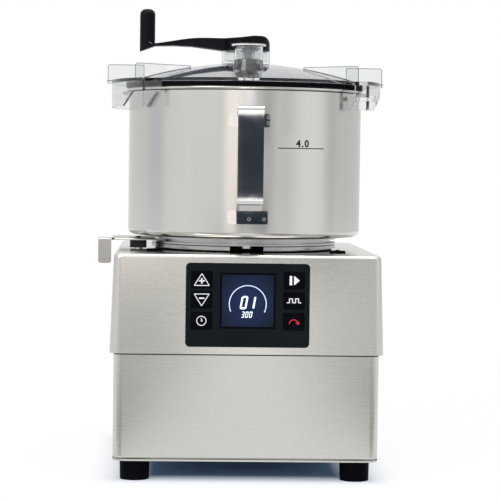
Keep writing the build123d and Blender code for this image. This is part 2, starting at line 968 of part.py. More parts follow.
with BuildPart() as rotor:
    with BuildSketch(level(stack_bottom)):
        Circle(rotor_radius)
        Circle(shaft_core_radius, mode=Mode.SUBTRACT)
    extrude(amount=stack_length)
    for low in (stack_bottom - end_ring_height, stack_top):
        with BuildSketch(level(low)):
            Circle(end_ring_outer)
            Circle(end_ring_inner, mode=Mode.SUBTRACT)
        extrude(amount=end_ring_height)
finish(rotor, "rotor")

with BuildPart() as cooling_fan:
    with BuildSketch(level(fan_bottom)):
        Circle(fan_hub_radius)
        Circle(fan_seat_radius, mode=Mode.SUBTRACT)
    extrude(amount=fan_height)
    with BuildSketch(level(fan_bottom + fan_height)):
        Circle(fan_radius)
        Circle(fan_seat_radius, mode=Mode.SUBTRACT)
    extrude(amount=-fan_plate)
    blade_root = (fan_seat_radius + fan_hub_radius) / 2
    blade_length = fan_radius - fan_plate - blade_root
    with BuildSketch(level(fan_bottom)):
        with PolarLocations(blade_root + blade_length / 2, fan_blades):
            Rectangle(blade_length, fan_plate)
    extrude(amount=fan_height - fan_plate)
finish(cooling_fan, "cooling_fan")

with BuildPart() as speed_drive:
    drive_row = lower_back - lower_wall - drive_box_depth - 2 * drive_fin_depth
    with BuildSketch(level(inside_floor)):
        with Locations((0, drive_row + drive_box_depth / 2)):
            Rectangle(drive_box_width, drive_box_depth)
    extrude(amount=drive_box_height)
    with BuildSketch(level(inside_floor + drive_fin_depth / 2)):
        with Locations((0, drive_row + drive_box_depth + drive_fin_depth / 2)):
            with GridLocations(drive_fin_pitch, 1, drive_fin_count, 1):
                Rectangle(fan_plate, drive_fin_depth)
    extrude(amount=drive_box_height - drive_fin_depth)
finish(speed_drive, "speed_drive")

with BuildPart() as cable_gland:
    with BuildSketch(upright(lower_back)):
        with Locations((gland_offset, gland_height)):
            RegularPolygon(gland_radius, 6)
    extrude(amount=-gland_length / 2)
    with BuildSketch(upright(lower_back + gland_length / 2)):
        with Locations((gland_offset, gland_height)):
            Circle(gland_radius * 0.8)
    extrude(amount=-gland_length / 2)
    rim = cable_gland.faces().sort_by(Axis.Y)[-1].edges()
    fillet(rim, gland_length / 6)
    with BuildSketch(upright(lower_back)):
        with Locations((gland_offset, gland_height)):
            Circle(gland_radius - lower_wall)
    extrude(amount=gland_length)
    with BuildSketch(upright(lower_back + gland_length)):
        with Locations((gland_offset, gland_height)):
            Circle(gland_bore)
    extrude(amount=2 * gland_length, mode=Mode.SUBTRACT)
finish(cable_gland, "cable_gland")

# Bowl: a spun shell with a rolled rim, a chimney round the shaft and a grooved disc below
chimney_bore = chimney_radius - chimney_wall
bead_row = bowl_radius + bead_radius
with BuildPart() as bowl_shell:
    with BuildSketch(upright()):
        with BuildLine():
            floor_line = Line((chimney_radius, bowl_bottom), (bowl_radius - bowl_corner, bowl_bottom))
            outer_bend = TangentArc(
                floor_line @ 1,
                (bowl_radius, bowl_bottom + bowl_corner),
                tangent=floor_line % 1,
            )
            wall_line = Line(outer_bend @ 1, (bowl_radius, bowl_rim - bead_radius))
            top_line = Line(wall_line @ 1, (inner_radius, bowl_rim - bead_radius))
            inner_line = Line(top_line @ 1, (inner_radius, bowl_bottom + bowl_corner))
            inner_bend = TangentArc(
                inner_line @ 1,
                (bowl_radius - bowl_corner, bowl_bottom + bowl_wall),
                tangent=inner_line % 1,
            )
            Line(inner_bend @ 1, (chimney_radius, bowl_bottom + bowl_wall))
            Line((chimney_radius, bowl_bottom + bowl_wall), floor_line @ 0)
        make_face()
        with Locations((bead_row - bowl_wall, bowl_rim - bead_radius)):
            Circle(bead_radius)
    revolve(axis=spin)
finish(bowl_shell, "bowl_shell")

with BuildPart() as bowl_chimney:
    with BuildSketch(level(bowl_bottom)):
        Circle(chimney_radius)
        Circle(chimney_bore, mode=Mode.SUBTRACT)
    extrude(amount=chimney_height)
    fillet(bowl_chimney.edges().filter_by(GeomType.CIRCLE).group_by(Axis.Z)[-1], chimney_wall / 3)
finish(bowl_chimney, "bowl_chimney")

with BuildPart() as bowl_disc:
    with BuildSketch(level(disc_bottom)):
        Circle(disc_radius)
        Circle(chimney_bore, mode=Mode.SUBTRACT)
    extrude(amount=disc_thickness)
    with BuildSketch(level(disc_top)):
        Circle(disc_pad_radius)
        Circle(chimney_bore, mode=Mode.SUBTRACT)
    extrude(amount=bowl_bottom - disc_top)
    with BuildSketch(level(groove_bottom)):
        Circle(disc_radius)
        Circle(disc_radius - groove_depth, mode=Mode.SUBTRACT)
    extrude(amount=groove_height, mode=Mode.SUBTRACT)
    with BuildSketch(level(disc_bottom)):
        with Locations((0, -stud_circle)):
            Circle(stud_diameter / 2 + slip_gap)
    extrude(amount=stud_height - ring_height, mode=Mode.SUBTRACT)
    with BuildSketch(upright(-disc_radius)):
        with Locations((-notch_offset, disc_top)):
            Rectangle(notch_width, disc_thickness, align=(Align.CENTER, Align.CENTER))
    extrude(amount=-groove_depth, mode=Mode.SUBTRACT)
finish(bowl_disc, "bowl_disc")

lug_starts = (-lug_sweep, 180 - lug_sweep)
with BuildPart() as bowl_lugs:
    with BuildSketch(level(lug_top - lug_height)):
        for start in lug_starts:
            add(ring_sector(bowl_radius, bowl_radius + lug_depth, start, lug_sweep))
    extrude(amount=lug_height)
finish(bowl_lugs, "bowl_lugs")

tab_half_angle = degrees(asin(tab_width / 2 / bowl_radius))
with BuildPart() as bowl_handle:
    for root in (handle_root_top, handle_root_bottom):
        with BuildSketch(level(root - tab_height)):
            add(
                ring_sector(
                    bowl_radius,
                    bowl_radius + tab_thickness,
                    -90 - tab_half_angle,
                    2 * tab_half_angle,
                )
            )
        extrude(amount=tab_height)
    tab_ends = bowl_handle.edges().filter_by(GeomType.LINE).filter_by(Axis.Z, reverse=True)
    fillet(tab_ends, tab_corner)
    strip_foot = -bowl_radius - tab_thickness / 2
    strip_out = -bowl_radius - handle_bend
    with BuildSketch(sideways(-handle_width / 2)):
        with BuildLine():
            FilletPolyline(
                (strip_foot, handle_root_top),
                (strip_out, handle_root_top),
                (-handle_front + handle_shoulder, handle_top),
                (-handle_front, handle_top),
                (-handle_front, handle_bottom),
                (strip_out, handle_root_bottom),
                (strip_foot, handle_root_bottom),
                radius=handle_bend / 2,
            )
            offset(amount=handle_thickness, side=Side.LEFT)
        make_face()
    extrude(amount=handle_width)
finish(bowl_handle, "bowl_handle")

# Cutter: two levels of curved blades clamped on a hub that covers the chimney
hub_bottom = bowl_bottom + bowl_wall + hub_floor_gap
lower_blade_level = hub_bottom + hub_foot_height
spacer_level = lower_blade_level + blade_thickness
upper_blade_level = spacer_level + spacer_height
nut_level = upper_blade_level + blade_thickness
hub_bore = chimney_radius + hub_gap
hub_shoulder = chimney_top + hub_gap
hub_bore_top = shaft_top + slip_gap
hub_end = shaft_top + hub_cap

with BuildPart() as cutter_hub:
    with BuildSketch(upright()):
        add(
            turned_section(
                [
                    (hub_bore, hub_bottom),
                    (hub_foot_radius, hub_bottom),
                    (hub_foot_radius, lower_blade_level),
                    (hub_radius, lower_blade_level),
                    (hub_radius, hub_shoulder + hub_gap),
                    (hub_neck_radius, hub_end),
                    (0, hub_end),
                    (0, hub_bore_top),
                    (shaft_radius + slip_gap, hub_bore_top),
                    (shaft_radius + slip_gap, hub_shoulder),
                    (hub_bore, hub_shoulder),
                ]
            )
        )
    revolve(axis=spin)
    flat_face = shaft_flat / 2 + slip_gap
    flat_fill = shaft_radius + 2 * slip_gap - flat_face
    with BuildSketch(level(hub_bore_top - shaft_flat_length)):
        for side in (-1, 1):
            with Locations((0, side * (flat_face + flat_fill / 2))):
                Rectangle(shaft_radius, flat_fill)
    extrude(amount=shaft_flat_length)
finish(cutter_hub, "cutter_hub")


def blade_arm(reach):
    """One sickle blade in plan: a bowed cutting edge ahead and a hollow back behind."""
    root_x = hub_foot_radius / 2
    root_y = sqrt(hub_foot_radius**2 - root_x**2)
    tip = (reach * cos(radians(blade_sweep)), -reach * sin(radians(blade_sweep)))
    lead_middle = ((root_x + tip[0]) / 2 + 0.75 * blade_bow, (root_y + tip[1]) / 2 + 0.66 * blade_bow)
    back_middle = ((root_x + tip[0]) / 2 + 0.2 * blade_bow, (tip[1] - root_y) / 2 + 0.4 * blade_bow)
    with BuildSketch() as shape:
        with BuildLine():
            ThreePointArc((root_x, root_y), lead_middle, tip)
            ThreePointArc(tip, back_middle, (root_x, -root_y))
            Line((root_x, -root_y), (0, 0))
            Line((0, 0), (root_x, root_y))
        make_face()
    return shape.sketch


def blade_pair(reach, height, turn):
    """Two blades on one ring, with the cutting edges ground from above."""
    with BuildPart() as pair:
        with BuildSketch(level(height)):
            Circle(hub_foot_radius)
            for side in (turn, turn + 180):
                add(blade_arm(reach), rotation=side)
            Circle(hub_radius, mode=Mode.SUBTRACT)
        extrude(amount=blade_thickness)
        top = pair.faces().sort_by(Axis.Z)[-1]
        arcs = top.edges().filter_by(GeomType.CIRCLE).sort_by(Edge.length)
        chamfer(arcs[-2:], bevel_width, bevel_depth, reference=top)
    return pair


lower_blade = blade_pair(lower_blade_reach, lower_blade_level, 0)
finish(lower_blade, "lower_blade")

upper_blade = blade_pair(upper_blade_reach, upper_blade_level, 90)
finish(upper_blade, "upper_blade")

with BuildPart() as blade_spacer:
    with BuildSketch(level(spacer_level)):
        Circle(hub_radius + spacer_wall)
        Circle(hub_radius, mode=Mode.SUBTRACT)
    extrude(amount=spacer_height)
finish(blade_spacer, "blade_spacer")

with BuildPart() as blade_nut:
    with BuildSketch(level(nut_level)):
        Circle(hub_radius + nut_wall)
        with PolarLocations(hub_radius + nut_wall + 1, 6):
            Circle(nut_wall / 2, mode=Mode.SUBTRACT)
        Circle(hub_radius, mode=Mode.SUBTRACT)
    extrude(amount=nut_height)
finish(blade_nut, "blade_nut")

with BuildPart() as cutter_knob:
    with BuildSketch(level(hub_end)):
        Circle(knob_waist)
    extrude(amount=knob_height)
    with BuildSketch(level(hub_end + knob_height / 3)):
        Circle(knob_radius)
    extrude(amount=knob_height * 2 / 3)
    fillet(cutter_knob.faces().sort_by(Axis.Z)[-1].edges(), knob_height / 4)
finish(cutter_knob, "cutter_knob")

# Lid with its gasket, ears, feed tube and hub
with BuildPart() as lid_gasket:
    with BuildSketch(level(bowl_rim + part_gap)):
        Circle(gasket_outer)
        Circle(lip_outer + part_gap, mode=Mode.SUBTRACT)
    extrude(amount=gasket_height - 2 * part_gap)
finish(lid_gasket, "lid_gasket")


def dome_height(radius, inset=0.0):
    """Height of the lid's dome at a radius, or of a shell that lies inside it."""
    return dome_centre + sqrt((dome_curve - inset) ** 2 - radius**2)


half_dome = (dome_radius + seat_radius) / 2
half_under = (lip_inner + seat_radius) / 2
spindle_bore = spindle_radius + running_fit
ear_sides = (
    (wing_start, right_skirt_radius),
    (wing_start + 180, left_skirt_radius),
)
right_bottom = flange_under - skirt_drop
left_bottom = right_bottom + 1
shallow_bottom = flange_under - skirt_shallow_drop
under_region = [
    (0, lip_bottom),
    (lip_inner, lip_bottom),
    (lip_inner, dome_height(lip_inner, lid_wall)),
]

with BuildPart() as lid_cover:
    # Ear plates and the skirts that hang from them
    for start, reach in ear_sides:
        with BuildSketch(level(flange_under)):
            add(ring_sector(dome_radius, reach, start, wing_sweep))
        extrude(amount=lid_flange)
        with BuildSketch(level(right_bottom)):
            add(ring_sector(reach - skirt_thickness, reach, start, wing_sweep))
            add(ring_sector(lid_radius - part_gap, reach, start, end_plate_sweep))
        extrude(amount=flange_under - right_bottom)
        with BuildSketch(level(ledge_top - ledge_height)):
            ledge_start = start + end_plate_sweep
            add(ring_sector(lid_radius + 1, reach - skirt_thickness, ledge_start, ledge_sweep))
        extrude(amount=ledge_height)
    # The right skirt is deep at its front end and slants up to its shallow back
    with BuildSketch(upright(0)):
        with BuildLine():
            Polyline(
                (right_skirt_radius - right_skirt_slant, right_bottom),
                (right_skirt_radius, shallow_bottom),
                (right_skirt_radius + 1, shallow_bottom),
                (right_skirt_radius + 1, right_bottom - 1),
                (right_skirt_radius - right_skirt_slant, right_bottom - 1),
                close=True,
            )
        make_face()
    extrude(amount=right_skirt_radius, mode=Mode.SUBTRACT)
    with BuildSketch(upright(0)):
        with Locations((right_skirt_radius, right_bottom)):
            Rectangle(
                right_skirt_radius,
                shallow_bottom - right_bottom,
                align=(Align.CENTER, Align.MIN),
            )
    extrude(amount=-right_skirt_radius, mode=Mode.SUBTRACT)
    # The left skirt is deep at the side and slants up to its front end
    slant_start = -left_skirt_radius + front_plate_step
    with BuildSketch(upright(0)):
        with BuildLine():
            Polyline(
                (slant_start, left_bottom),
                (slant_start + left_skirt_slant, left_bottom + front_plate_step),
                (0, left_bottom + front_plate_step),
                (0, right_bottom - 1),
                (-left_skirt_radius - 1, right_bottom - 1),
                (-left_skirt_radius - 1, left_bottom),
                close=True,
            )
        make_face()
    extrude(amount=left_skirt_radius, mode=Mode.SUBTRACT)
    with BuildSketch(upright(front_plate_row)):
        with BuildLine():
            Polyline(
                (-front_plate_outer, flange_under),
                (-front_plate_outer, left_bottom),
                (-front_plate_inner - front_plate_slant, left_bottom),
                (-front_plate_inner, left_bottom + front_plate_step),
                (-front_plate_inner, flange_under),
                close=True,
            )
        make_face()
    extrude(amount=skirt_thickness)
    # Upright fins by which the lid is turned
    for side in (-1, 1):
        with BuildSketch(level(flange_under)):
            with Locations((side * fin_reach, rear_fin_row)):
                Rectangle(
                    fin_reach - dome_radius,
                    8 * fin_thickness,
                    align=(Align.MAX if side > 0 else Align.MIN, Align.CENTER),
                )
        extrude(amount=lid_flange)
        with BuildSketch(upright(front_fin_row)):
            with BuildLine():
                Polyline(
                    (side * front_fin_inner, flange_under + fin_sink),
                    (side * front_fin_outer, flange_under + fin_sink),
                    (side * front_fin_outer, fin_top),
                    (side * front_fin_inner, fin_top - fin_thickness),
                    close=True,
                )
            make_face()
            outer_corner = vertices().group_by(Axis.Y)[-1]
            fillet(outer_corner, fin_corner)
        extrude(amount=-fin_thickness)
        with BuildSketch(upright(rear_fin_row)):
            with BuildLine():
                Polyline(
                    (side * fin_root, flange_under + fin_sink),
                    (side * fin_reach, flange_under + fin_sink),
                    (side * fin_reach, fin_top),
                    (side * fin_root, fin_top),
                    close=True,
                )
            make_face()
            outer_corner = vertices().group_by(Axis.Y)[-1].sort_by(Axis.X)[0 if side < 0 else -1]
            fillet(outer_corner, fin_corner)
        extrude(amount=-fin_thickness)
    # Feed tube at the front
    with BuildSketch(level(flange_top)):
        with Locations((0, -tube_row)):
            Circle(tube_radius)
    extrude(amount=tube_top - flange_top)
    with BuildSketch(level(flange_top)):
        with Locations((0, -tube_row)):
            Circle(tube_foot_radius + tube_wall)
    extrude(amount=dome_rise, taper=degrees(atan((tube_foot_radius + tube_wall - tube_radius) / dome_rise)))
    # Clear the room below the dome, then lay the turned shell over it
    with BuildSketch(upright()):
        with BuildLine():
            Polyline((0, seat_under), *under_region)
            ThreePointArc(
                (lip_inner, dome_height(lip_inner, lid_wall)),
                (half_under, dome_height(half_under, lid_wall)),
                (seat_radius, dome_height(seat_radius, lid_wall)),
            )
            Line((seat_radius, dome_height(seat_radius, lid_wall)), (0, seat_under))
        make_face()
    revolve(axis=spin, mode=Mode.SUBTRACT)
    with BuildSketch(upright()):
        with BuildLine():
            Polyline(
                (lip_inner, dome_height(lip_inner, lid_wall)),
                (lip_inner, lip_bottom),
                (lip_outer, lip_bottom),
                (lip_outer, flange_under),
                (lid_radius, flange_under),
                (lid_radius, flange_top),
                (dome_radius, flange_top),
            )
            ThreePointArc(
                (dome_radius, flange_top),
                (half_dome, dome_height(half_dome)),
                (seat_radius, seat_top),
            )
            Polyline(
                (seat_radius, seat_top),
                (spindle_bore, seat_top),
                (spindle_bore, seat_under),
                (seat_radius, dome_height(seat_radius, lid_wall)),
            )
            ThreePointArc(
                (seat_radius, dome_height(seat_radius, lid_wall)),
                (half_under, dome_height(half_under, lid_wall)),
                (lip_inner, dome_height(lip_inner, lid_wall)),
            )
        make_face()
    revolve(axis=spin)
    with BuildSketch(level(flange_under)):
        with Locations((0, -tube_row)):
            Circle(tube_radius - tube_wall)
    extrude(amount=tube_top - flange_under, mode=Mode.SUBTRACT)
finish(lid_cover, "lid_cover")

with BuildPart() as lid_hub:
    with BuildSketch(level(seat_top)):
        Circle(lid_hub_radius)
        Circle(spindle_bore, mode=Mode.SUBTRACT)
    extrude(amount=lid_hub_height)
    with BuildSketch(level(hub_top)):
        Circle(lid_hub_radius - lid_hub_wall)
        Circle(lid_hub_boss, mode=Mode.SUBTRACT)
    extrude(amount=-(lid_hub_height - lid_wall), mode=Mode.SUBTRACT)
finish(lid_hub, "lid_hub")

cap_seat = tube_top + part_gap
plug_radius = tube_radius - tube_wall - slip_gap
with BuildPart() as feed_cap:
    with BuildSketch(level(cap_seat)):
        with Locations((0, -tube_row)):
            Circle(cap_radius)
    extrude(amount=cap_thickness)
    fillet(feed_cap.faces().sort_by(Axis.Z)[-1].edges(), cap_thickness / 2.5)
    with BuildSketch(level(cap_seat)):
        with Locations((0, -tube_row)):
            Circle(cap_neck)
    extrude(amount=-cap_plug_wall)
    with BuildSketch(level(cap_seat - cap_plug_wall)):
        with Locations((0, -tube_row)):
            Circle(plug_radius)
    extrude(amount=cap_plug_wall - cap_plug_depth)
    with BuildSketch(level(cap_seat - cap_plug_depth)):
        with Locations((0, -tube_row)):
            Circle(plug_radius - cap_plug_wall)
    extrude(amount=cap_plug_depth - 2 * cap_plug_wall, mode=Mode.SUBTRACT)
finish(feed_cap, "feed_cap")

# Stirring lever on top of the lid, with the spindle and wall scrapers that it turns
arm_tip = -arm_end - arm_tip_half
arm_over_cap = cap_seat + cap_thickness + arm_cap_gap
cap_sweep = cap_radius + arm_cap_margin
with BuildPart() as stirring_lever:
    with BuildSketch(upright(-lever_hub_radius)):
        with BuildLine():
            top_curve = Spline(
                (lever_hub_radius, lever_top - 0.47 * lever_rise),
                (0.9 * lever_hub_radius, lever_top - 0.13 * lever_rise),
                (0, lever_top),
                (-0.53 * arm_end, lever_top - 0.12 * lever_rise),
                (-0.85 * arm_end, lever_top - 0.47 * lever_rise),
                (arm_tip, lever_top - 0.66 * lever_rise),
            )
            Polyline(
                top_curve @ 1,
                (arm_tip, arm_tip_under),
                (-tube_row - cap_sweep, arm_over_cap),
                (-0.74 * arm_end, arm_ridge),
                (-tube_row + cap_sweep, arm_over_cap),
                (-lever_hub_radius, lever_under),
                (lever_hub_radius, lever_under),
                top_curve @ 0,
            )
        make_face()
    extrude(amount=-2 * lever_hub_radius)
    with BuildSketch(level(arm_tip_under)) as plan:
        Circle(lever_hub_radius)
        with Locations((-arm_end, 0)):
            Circle(arm_tip_half)
        with BuildLine():
            Polyline(
                (0, arm_root_half),
                (-arm_end, arm_tip_half),
                (-arm_end, -arm_tip_half),
                (0, -arm_root_half),
                close=True,
            )
        make_face()
    extrude(amount=lever_top - arm_tip_under + 1, mode=Mode.INTERSECT)
    with BuildSketch(level(arm_ridge)):
        with Locations((-arm_end, 0)):
            Circle(grip_radius)
    extrude(amount=grip_top - arm_ridge)
    fillet(stirring_lever.faces().sort_by(Axis.Z)[-1].edges(), grip_edge)
    with BuildSketch(level(lever_under)):
        Circle(spindle_head_radius)
    extrude(amount=spindle_head_height, mode=Mode.SUBTRACT)
finish(stirring_lever, "stirring_lever")

spindle_end = seat_under - spindle_tail
with BuildPart() as lever_spindle:
    with BuildSketch(level(spindle_end)):
        Circle(spindle_radius)
    extrude(amount=lever_under - spindle_end)
    with BuildSketch(level(lever_under)):
        Circle(spindle_head_radius)
    extrude(amount=spindle_head_height)
finish(lever_spindle, "lever_spindle")

bar_top = flange_under + arm_bar_rise
bar_bottom = bar_top - arm_bar_height
with BuildPart() as scraper_arm:
    with BuildSketch(level(bar_bottom)):
        Circle(scraper_hub_radius)
        Rectangle(2 * post_outer, arm_bar_width)
    extrude(amount=arm_bar_height)
    with BuildSketch(level(bar_top)):
        Circle(scraper_hub_radius)
    extrude(amount=seat_under - scraper_hub_gap - bar_top)
    with BuildSketch(level(spindle_end)):
        Circle(spindle_radius)
    extrude(amount=spindle_tail, mode=Mode.SUBTRACT)
    with BuildSketch(level(bar_bottom)):
        Circle(retainer_height)
    extrude(amount=spindle_end - bar_bottom, mode=Mode.SUBTRACT)
    with BuildSketch(level(bar_bottom)):
        for side in (-1, 1):
            with Locations((side * (post_inner + post_outer) / 2, 0)):
                Rectangle(post_outer - post_inner, post_width)
    extrude(amount=-post_length)
finish(scraper_arm, "scraper_arm")

scraper_top = lip_bottom - retainer_height
with BuildPart() as wall_scrapers:
    with BuildSketch(level(scraper_bottom)):
        for side in (-1, 1):
            with Locations((side * (post_outer + scraper_reach) / 2, 0)):
                Rectangle(scraper_reach - post_outer, scraper_width)
    extrude(amount=scraper_top - scraper_bottom)
finish(wall_scrapers, "wall_scrapers")

with BuildPart() as scraper_screw:
    with BuildSketch(level(bar_bottom)):
        Circle(retainer_radius)
    extrude(amount=-retainer_height)
    with BuildSketch(level(bar_bottom)):
        Circle(retainer_height)
    extrude(amount=spindle_end - bar_bottom)
finish(scraper_screw, "scraper_screw")
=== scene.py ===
# %% [markdown]
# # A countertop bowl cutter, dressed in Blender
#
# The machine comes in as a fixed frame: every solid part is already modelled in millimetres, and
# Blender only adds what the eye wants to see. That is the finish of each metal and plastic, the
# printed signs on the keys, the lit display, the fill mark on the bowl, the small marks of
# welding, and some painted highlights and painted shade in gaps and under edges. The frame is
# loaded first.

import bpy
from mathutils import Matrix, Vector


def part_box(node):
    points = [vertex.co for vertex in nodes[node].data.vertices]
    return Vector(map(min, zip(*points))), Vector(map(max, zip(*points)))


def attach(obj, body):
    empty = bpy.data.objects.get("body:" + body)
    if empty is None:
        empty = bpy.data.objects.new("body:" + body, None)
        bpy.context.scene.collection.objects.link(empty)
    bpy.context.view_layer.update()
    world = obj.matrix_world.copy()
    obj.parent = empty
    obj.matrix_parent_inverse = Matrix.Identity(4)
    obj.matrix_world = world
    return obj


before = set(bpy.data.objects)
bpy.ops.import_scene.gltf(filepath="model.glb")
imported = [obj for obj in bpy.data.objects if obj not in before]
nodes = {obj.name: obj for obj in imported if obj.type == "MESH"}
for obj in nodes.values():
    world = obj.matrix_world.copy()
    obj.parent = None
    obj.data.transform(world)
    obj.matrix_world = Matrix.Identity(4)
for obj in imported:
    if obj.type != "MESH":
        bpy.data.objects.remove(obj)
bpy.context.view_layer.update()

from math import cos, degrees, pi, radians, sin, tan

import bpy
from mathutils import Euler, Matrix, Vector

# %% [markdown]
# ## Measures
#
# The frame is in metres, while a maker thinks in millimetres, so one small number turns one into
# the other. The bowl's axis doesn't stand on the origin, because the latch and the handle reach
# further than the rest, so its place is read from the bowl's own box.

# %% Units and the bowl's axis
mm = 0.001
shell_low, shell_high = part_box("bowl_chimney")
axis_x = (shell_low.x + shell_high.x) / 2
axis_y = (shell_low.y + shell_high.y) / 2
print("bowl axis at", round(axis_x / mm, 2), round(axis_y / mm, 2), "mm")

# %% [markdown]
# ## The camera
#
# The photograph was taken from about two metres in front of the machine, a little to the left of
# its middle and about as high as the bowl's floor. A long lens is used, so that the sides stay
# nearly parallel. The camera looks slightly down and leans by less than a degree.

# %% Camera
camera_place = (-0.0726, -2.0647, 0.3166)
degrees_down, degrees_right, degrees_leaning = 2.596, -2.32, 0.8
aim = Euler((radians(90 - degrees_down), 0, radians(degrees_right))).to_matrix()
lean = Matrix.Rotation(radians(degrees_leaning), 3, "Z")
bpy.ops.object.camera_add(location=camera_place, rotation=(aim @ lean).to_euler())
camera = bpy.context.object
camera.name = "camera"
camera.data.lens = 140.3
camera.data.sensor_width = 36
bpy.context.scene.camera = camera
print("camera stands", round(-camera.location.y, 2), "m in front")

# %% [markdown]
# ## Light
#
# Steel shows what stands around it, so a studio for steel is mostly large white walls. The world
# is white at strength 1 for what the camera, the metal and the plastic see, and a little lower for
# what lights the dull surfaces, so that the soft boxes still give a direction.

# %% World
dull_share = 0.55
world = bpy.data.worlds.new("studio")
world.use_nodes = True
bpy.context.scene.world = world
world_tree = world.node_tree
backdrop = world_tree.nodes["Background"]
light_path = world_tree.nodes.new("ShaderNodeLightPath")
strength = world_tree.nodes.new("ShaderNodeMath")
strength.operation = "MULTIPLY_ADD"
strength.inputs[1].default_value = dull_share - 1.0
strength.inputs[2].default_value = 1.0
world_tree.links.new(light_path.outputs["Is Diffuse Ray"], strength.inputs[0])
world_tree.links.new(strength.outputs[0], backdrop.inputs["Strength"])
backdrop.inputs["Color"].default_value = (1, 1, 1, 1)
bpy.context.scene.view_settings.view_transform = "Standard"
print("world is white for the camera,", dull_share, "for dull surfaces")


# %% [markdown]
# One soft box stands high on the left, and a larger one hangs over the machine. The camera
# doesn't see them.

# %% Soft boxes
def soft_box(name, place, aim_at, width, height, power):
    """An area light that looks at a point of the machine."""
    place, aim_at = Vector(place), Vector(aim_at)
    turn = (aim_at - place).to_track_quat("-Z", "Y").to_euler()
    bpy.ops.object.light_add(type="AREA", location=place, rotation=turn)
    lamp = bpy.context.object
    lamp.name = name
    lamp.data.shape = "RECTANGLE"
    lamp.data.size = width
    lamp.data.size_y = height
    lamp.data.energy = power
    lamp.visible_camera = False
    return lamp


lamps = [
    soft_box("left_box", (-1.5, -1.9, 1.5), (0, 0, 0.25), width=1.4, height=1.2, power=22),
    soft_box("top_box", (0.1, -0.3, 2.1), (0, 0, 0.3), width=2.0, height=1.6, power=30),
]
print("soft boxes:", [lamp.name for lamp in lamps])

# %% [markdown]
# ## The floor
#
# The floor is one large flat sheet. It belongs to the stage and not to the machine, and it gets
# its paint near the end, once the tools for making materials are there.

# %% Floor
floor_size = 30
bpy.ops.mesh.primitive_plane_add(size=floor_size)
floor = bpy.context.object
floor.name = "floor"
print("floor is", floor_size, "metres wide")


# %% [markdown]
# ## A small workshop for materials
#
# Each finish is a shader written as sums. The class below wraps one output of a node, so that
# masks and colours can be added and multiplied like numbers, and each sum becomes a Math node.

# %% Sums on sockets
class Socket:
    """One output of a shader node, on which ordinary sums add Math nodes."""

    def __init__(self, finish, output):
        self.finish = finish
        self.output = output

    def maths(self, operation, first, second=0.0):
        """One Math node on two values."""
        return self.finish.node("ShaderNodeMath", {"operation": operation}, {0: first, 1: second})

    def __add__(self, other):
        return self.maths("ADD", self, other)

    def __mul__(self, other):
        return self.maths("MULTIPLY", self, other)

    def __sub__(self, other):
        return self.maths("SUBTRACT", self, other)

    def __rsub__(self, other):
        return self.maths("SUBTRACT", other, self)

    __radd__ = __add__
    __rmul__ = __mul__

    def above(self, limit):
        """1 where the value is greater than the limit, and 0 elsewhere."""
        return self.maths("GREATER_THAN", self, limit)

    def size(self):
        """The value without its sign."""
        return self.maths("ABSOLUTE", self)


print("a socket can do", [name for name in vars(Socket) if name[0] != "_"])


# %% [markdown]
# A finish is one material in the making. Its one method for nodes takes the node's type, its
# settings and the values or links of its sockets. What varies over a surface ends in the colour,
# the roughness or a bump; what is the same all over is set on the shader itself.

# %% Finishes
class Finish:
    """A material to which nodes are added one by one."""

    def __init__(self, name, colour, roughness, **constants):
        self.material = bpy.data.materials.new(name)
        self.material.use_nodes = True
        self.tree = self.material.node_tree
        self.shader = self.tree.nodes["Principled BSDF"]
        self.material.diffuse_color = (*colour, 1)
        self.place = self.node("ShaderNodeTexCoord", {}, {}, "Object")
        self.set("Base Color", (*colour, 1))
        self.set("Roughness", roughness)
        for name_of_socket, value in constants.items():
            self.set(name_of_socket.replace("_", " "), value)

    def set(self, socket, value):
        """Give one socket of the shader a number, a colour or a link."""
        target = self.shader.inputs[socket]
        if isinstance(value, Socket):
            self.tree.links.new(value.output, target)
        else:
            target.default_value = value

    def node(self, kind, settings, sockets, output=0):
        """Add a node, set it up, and join its sockets."""
        made = self.tree.nodes.new(kind)
        for setting, value in settings.items():
            if setting == "stops":
                for place, colour in value[2:]:
                    made.color_ramp.elements.new(place)
                for element, (place, colour) in zip(made.color_ramp.elements, sorted(value)):
                    element.position = place
                    element.color = colour
            else:
                setattr(made, setting, value)
        for socket, value in sockets.items():
            if isinstance(value, Socket):
                self.tree.links.new(value.output, made.inputs[socket])
            else:
                made.inputs[socket].default_value = value
        return Socket(self, made.outputs[output])

    def part(self, axis, vector=None):
        """One part of a vector: X, Y or Z. The object coordinates are the usual vector."""
        return self.node("ShaderNodeSeparateXYZ", {}, {"Vector": vector or self.place}, axis)

    def stretched(self, x, y, z):
        """Object coordinates drawn out by three factors."""
        sockets = {"Vector": self.place, "Scale": (x, y, z)}
        return self.node("ShaderNodeMapping", {}, sockets)

    def noise(self, scale, detail=2.0, place=None):
        """Cloudy noise from 0 to 1, at a number of clouds per metre."""
        sockets = {"Vector": place or self.place, "Scale": scale, "Detail": detail}
        return self.node("ShaderNodeTexNoise", {}, sockets)

    def ramp(self, value, low, high):
        """A mask that goes from 0 to 1 between two levels."""
        stops = [(low, (0, 0, 0, 1)), (high, (1, 1, 1, 1))]
        return self.node("ShaderNodeValToRGB", {"stops": stops}, {"Fac": value})

    def blend(self, mask, first, second):
        """The first colour where the mask is 0 and the second where it is 1."""
        settings = {"data_type": "RGBA"}
        return self.node("ShaderNodeMix", settings, {0: mask, 6: first, 7: second}, 2)

    def bump(self, height, strength, distance, under=None):
        """Raise and lower the surface by a height mask, on top of another bump."""
        sockets = {"Height": height, "Strength": strength, "Distance": distance}
        if under:
            sockets["Normal"] = under
        raised = self.node("ShaderNodeBump", {}, sockets)
        self.set("Normal", raised)
        return raised


print("a finish can do", [name for name in vars(Finish) if name[0] != "_"])


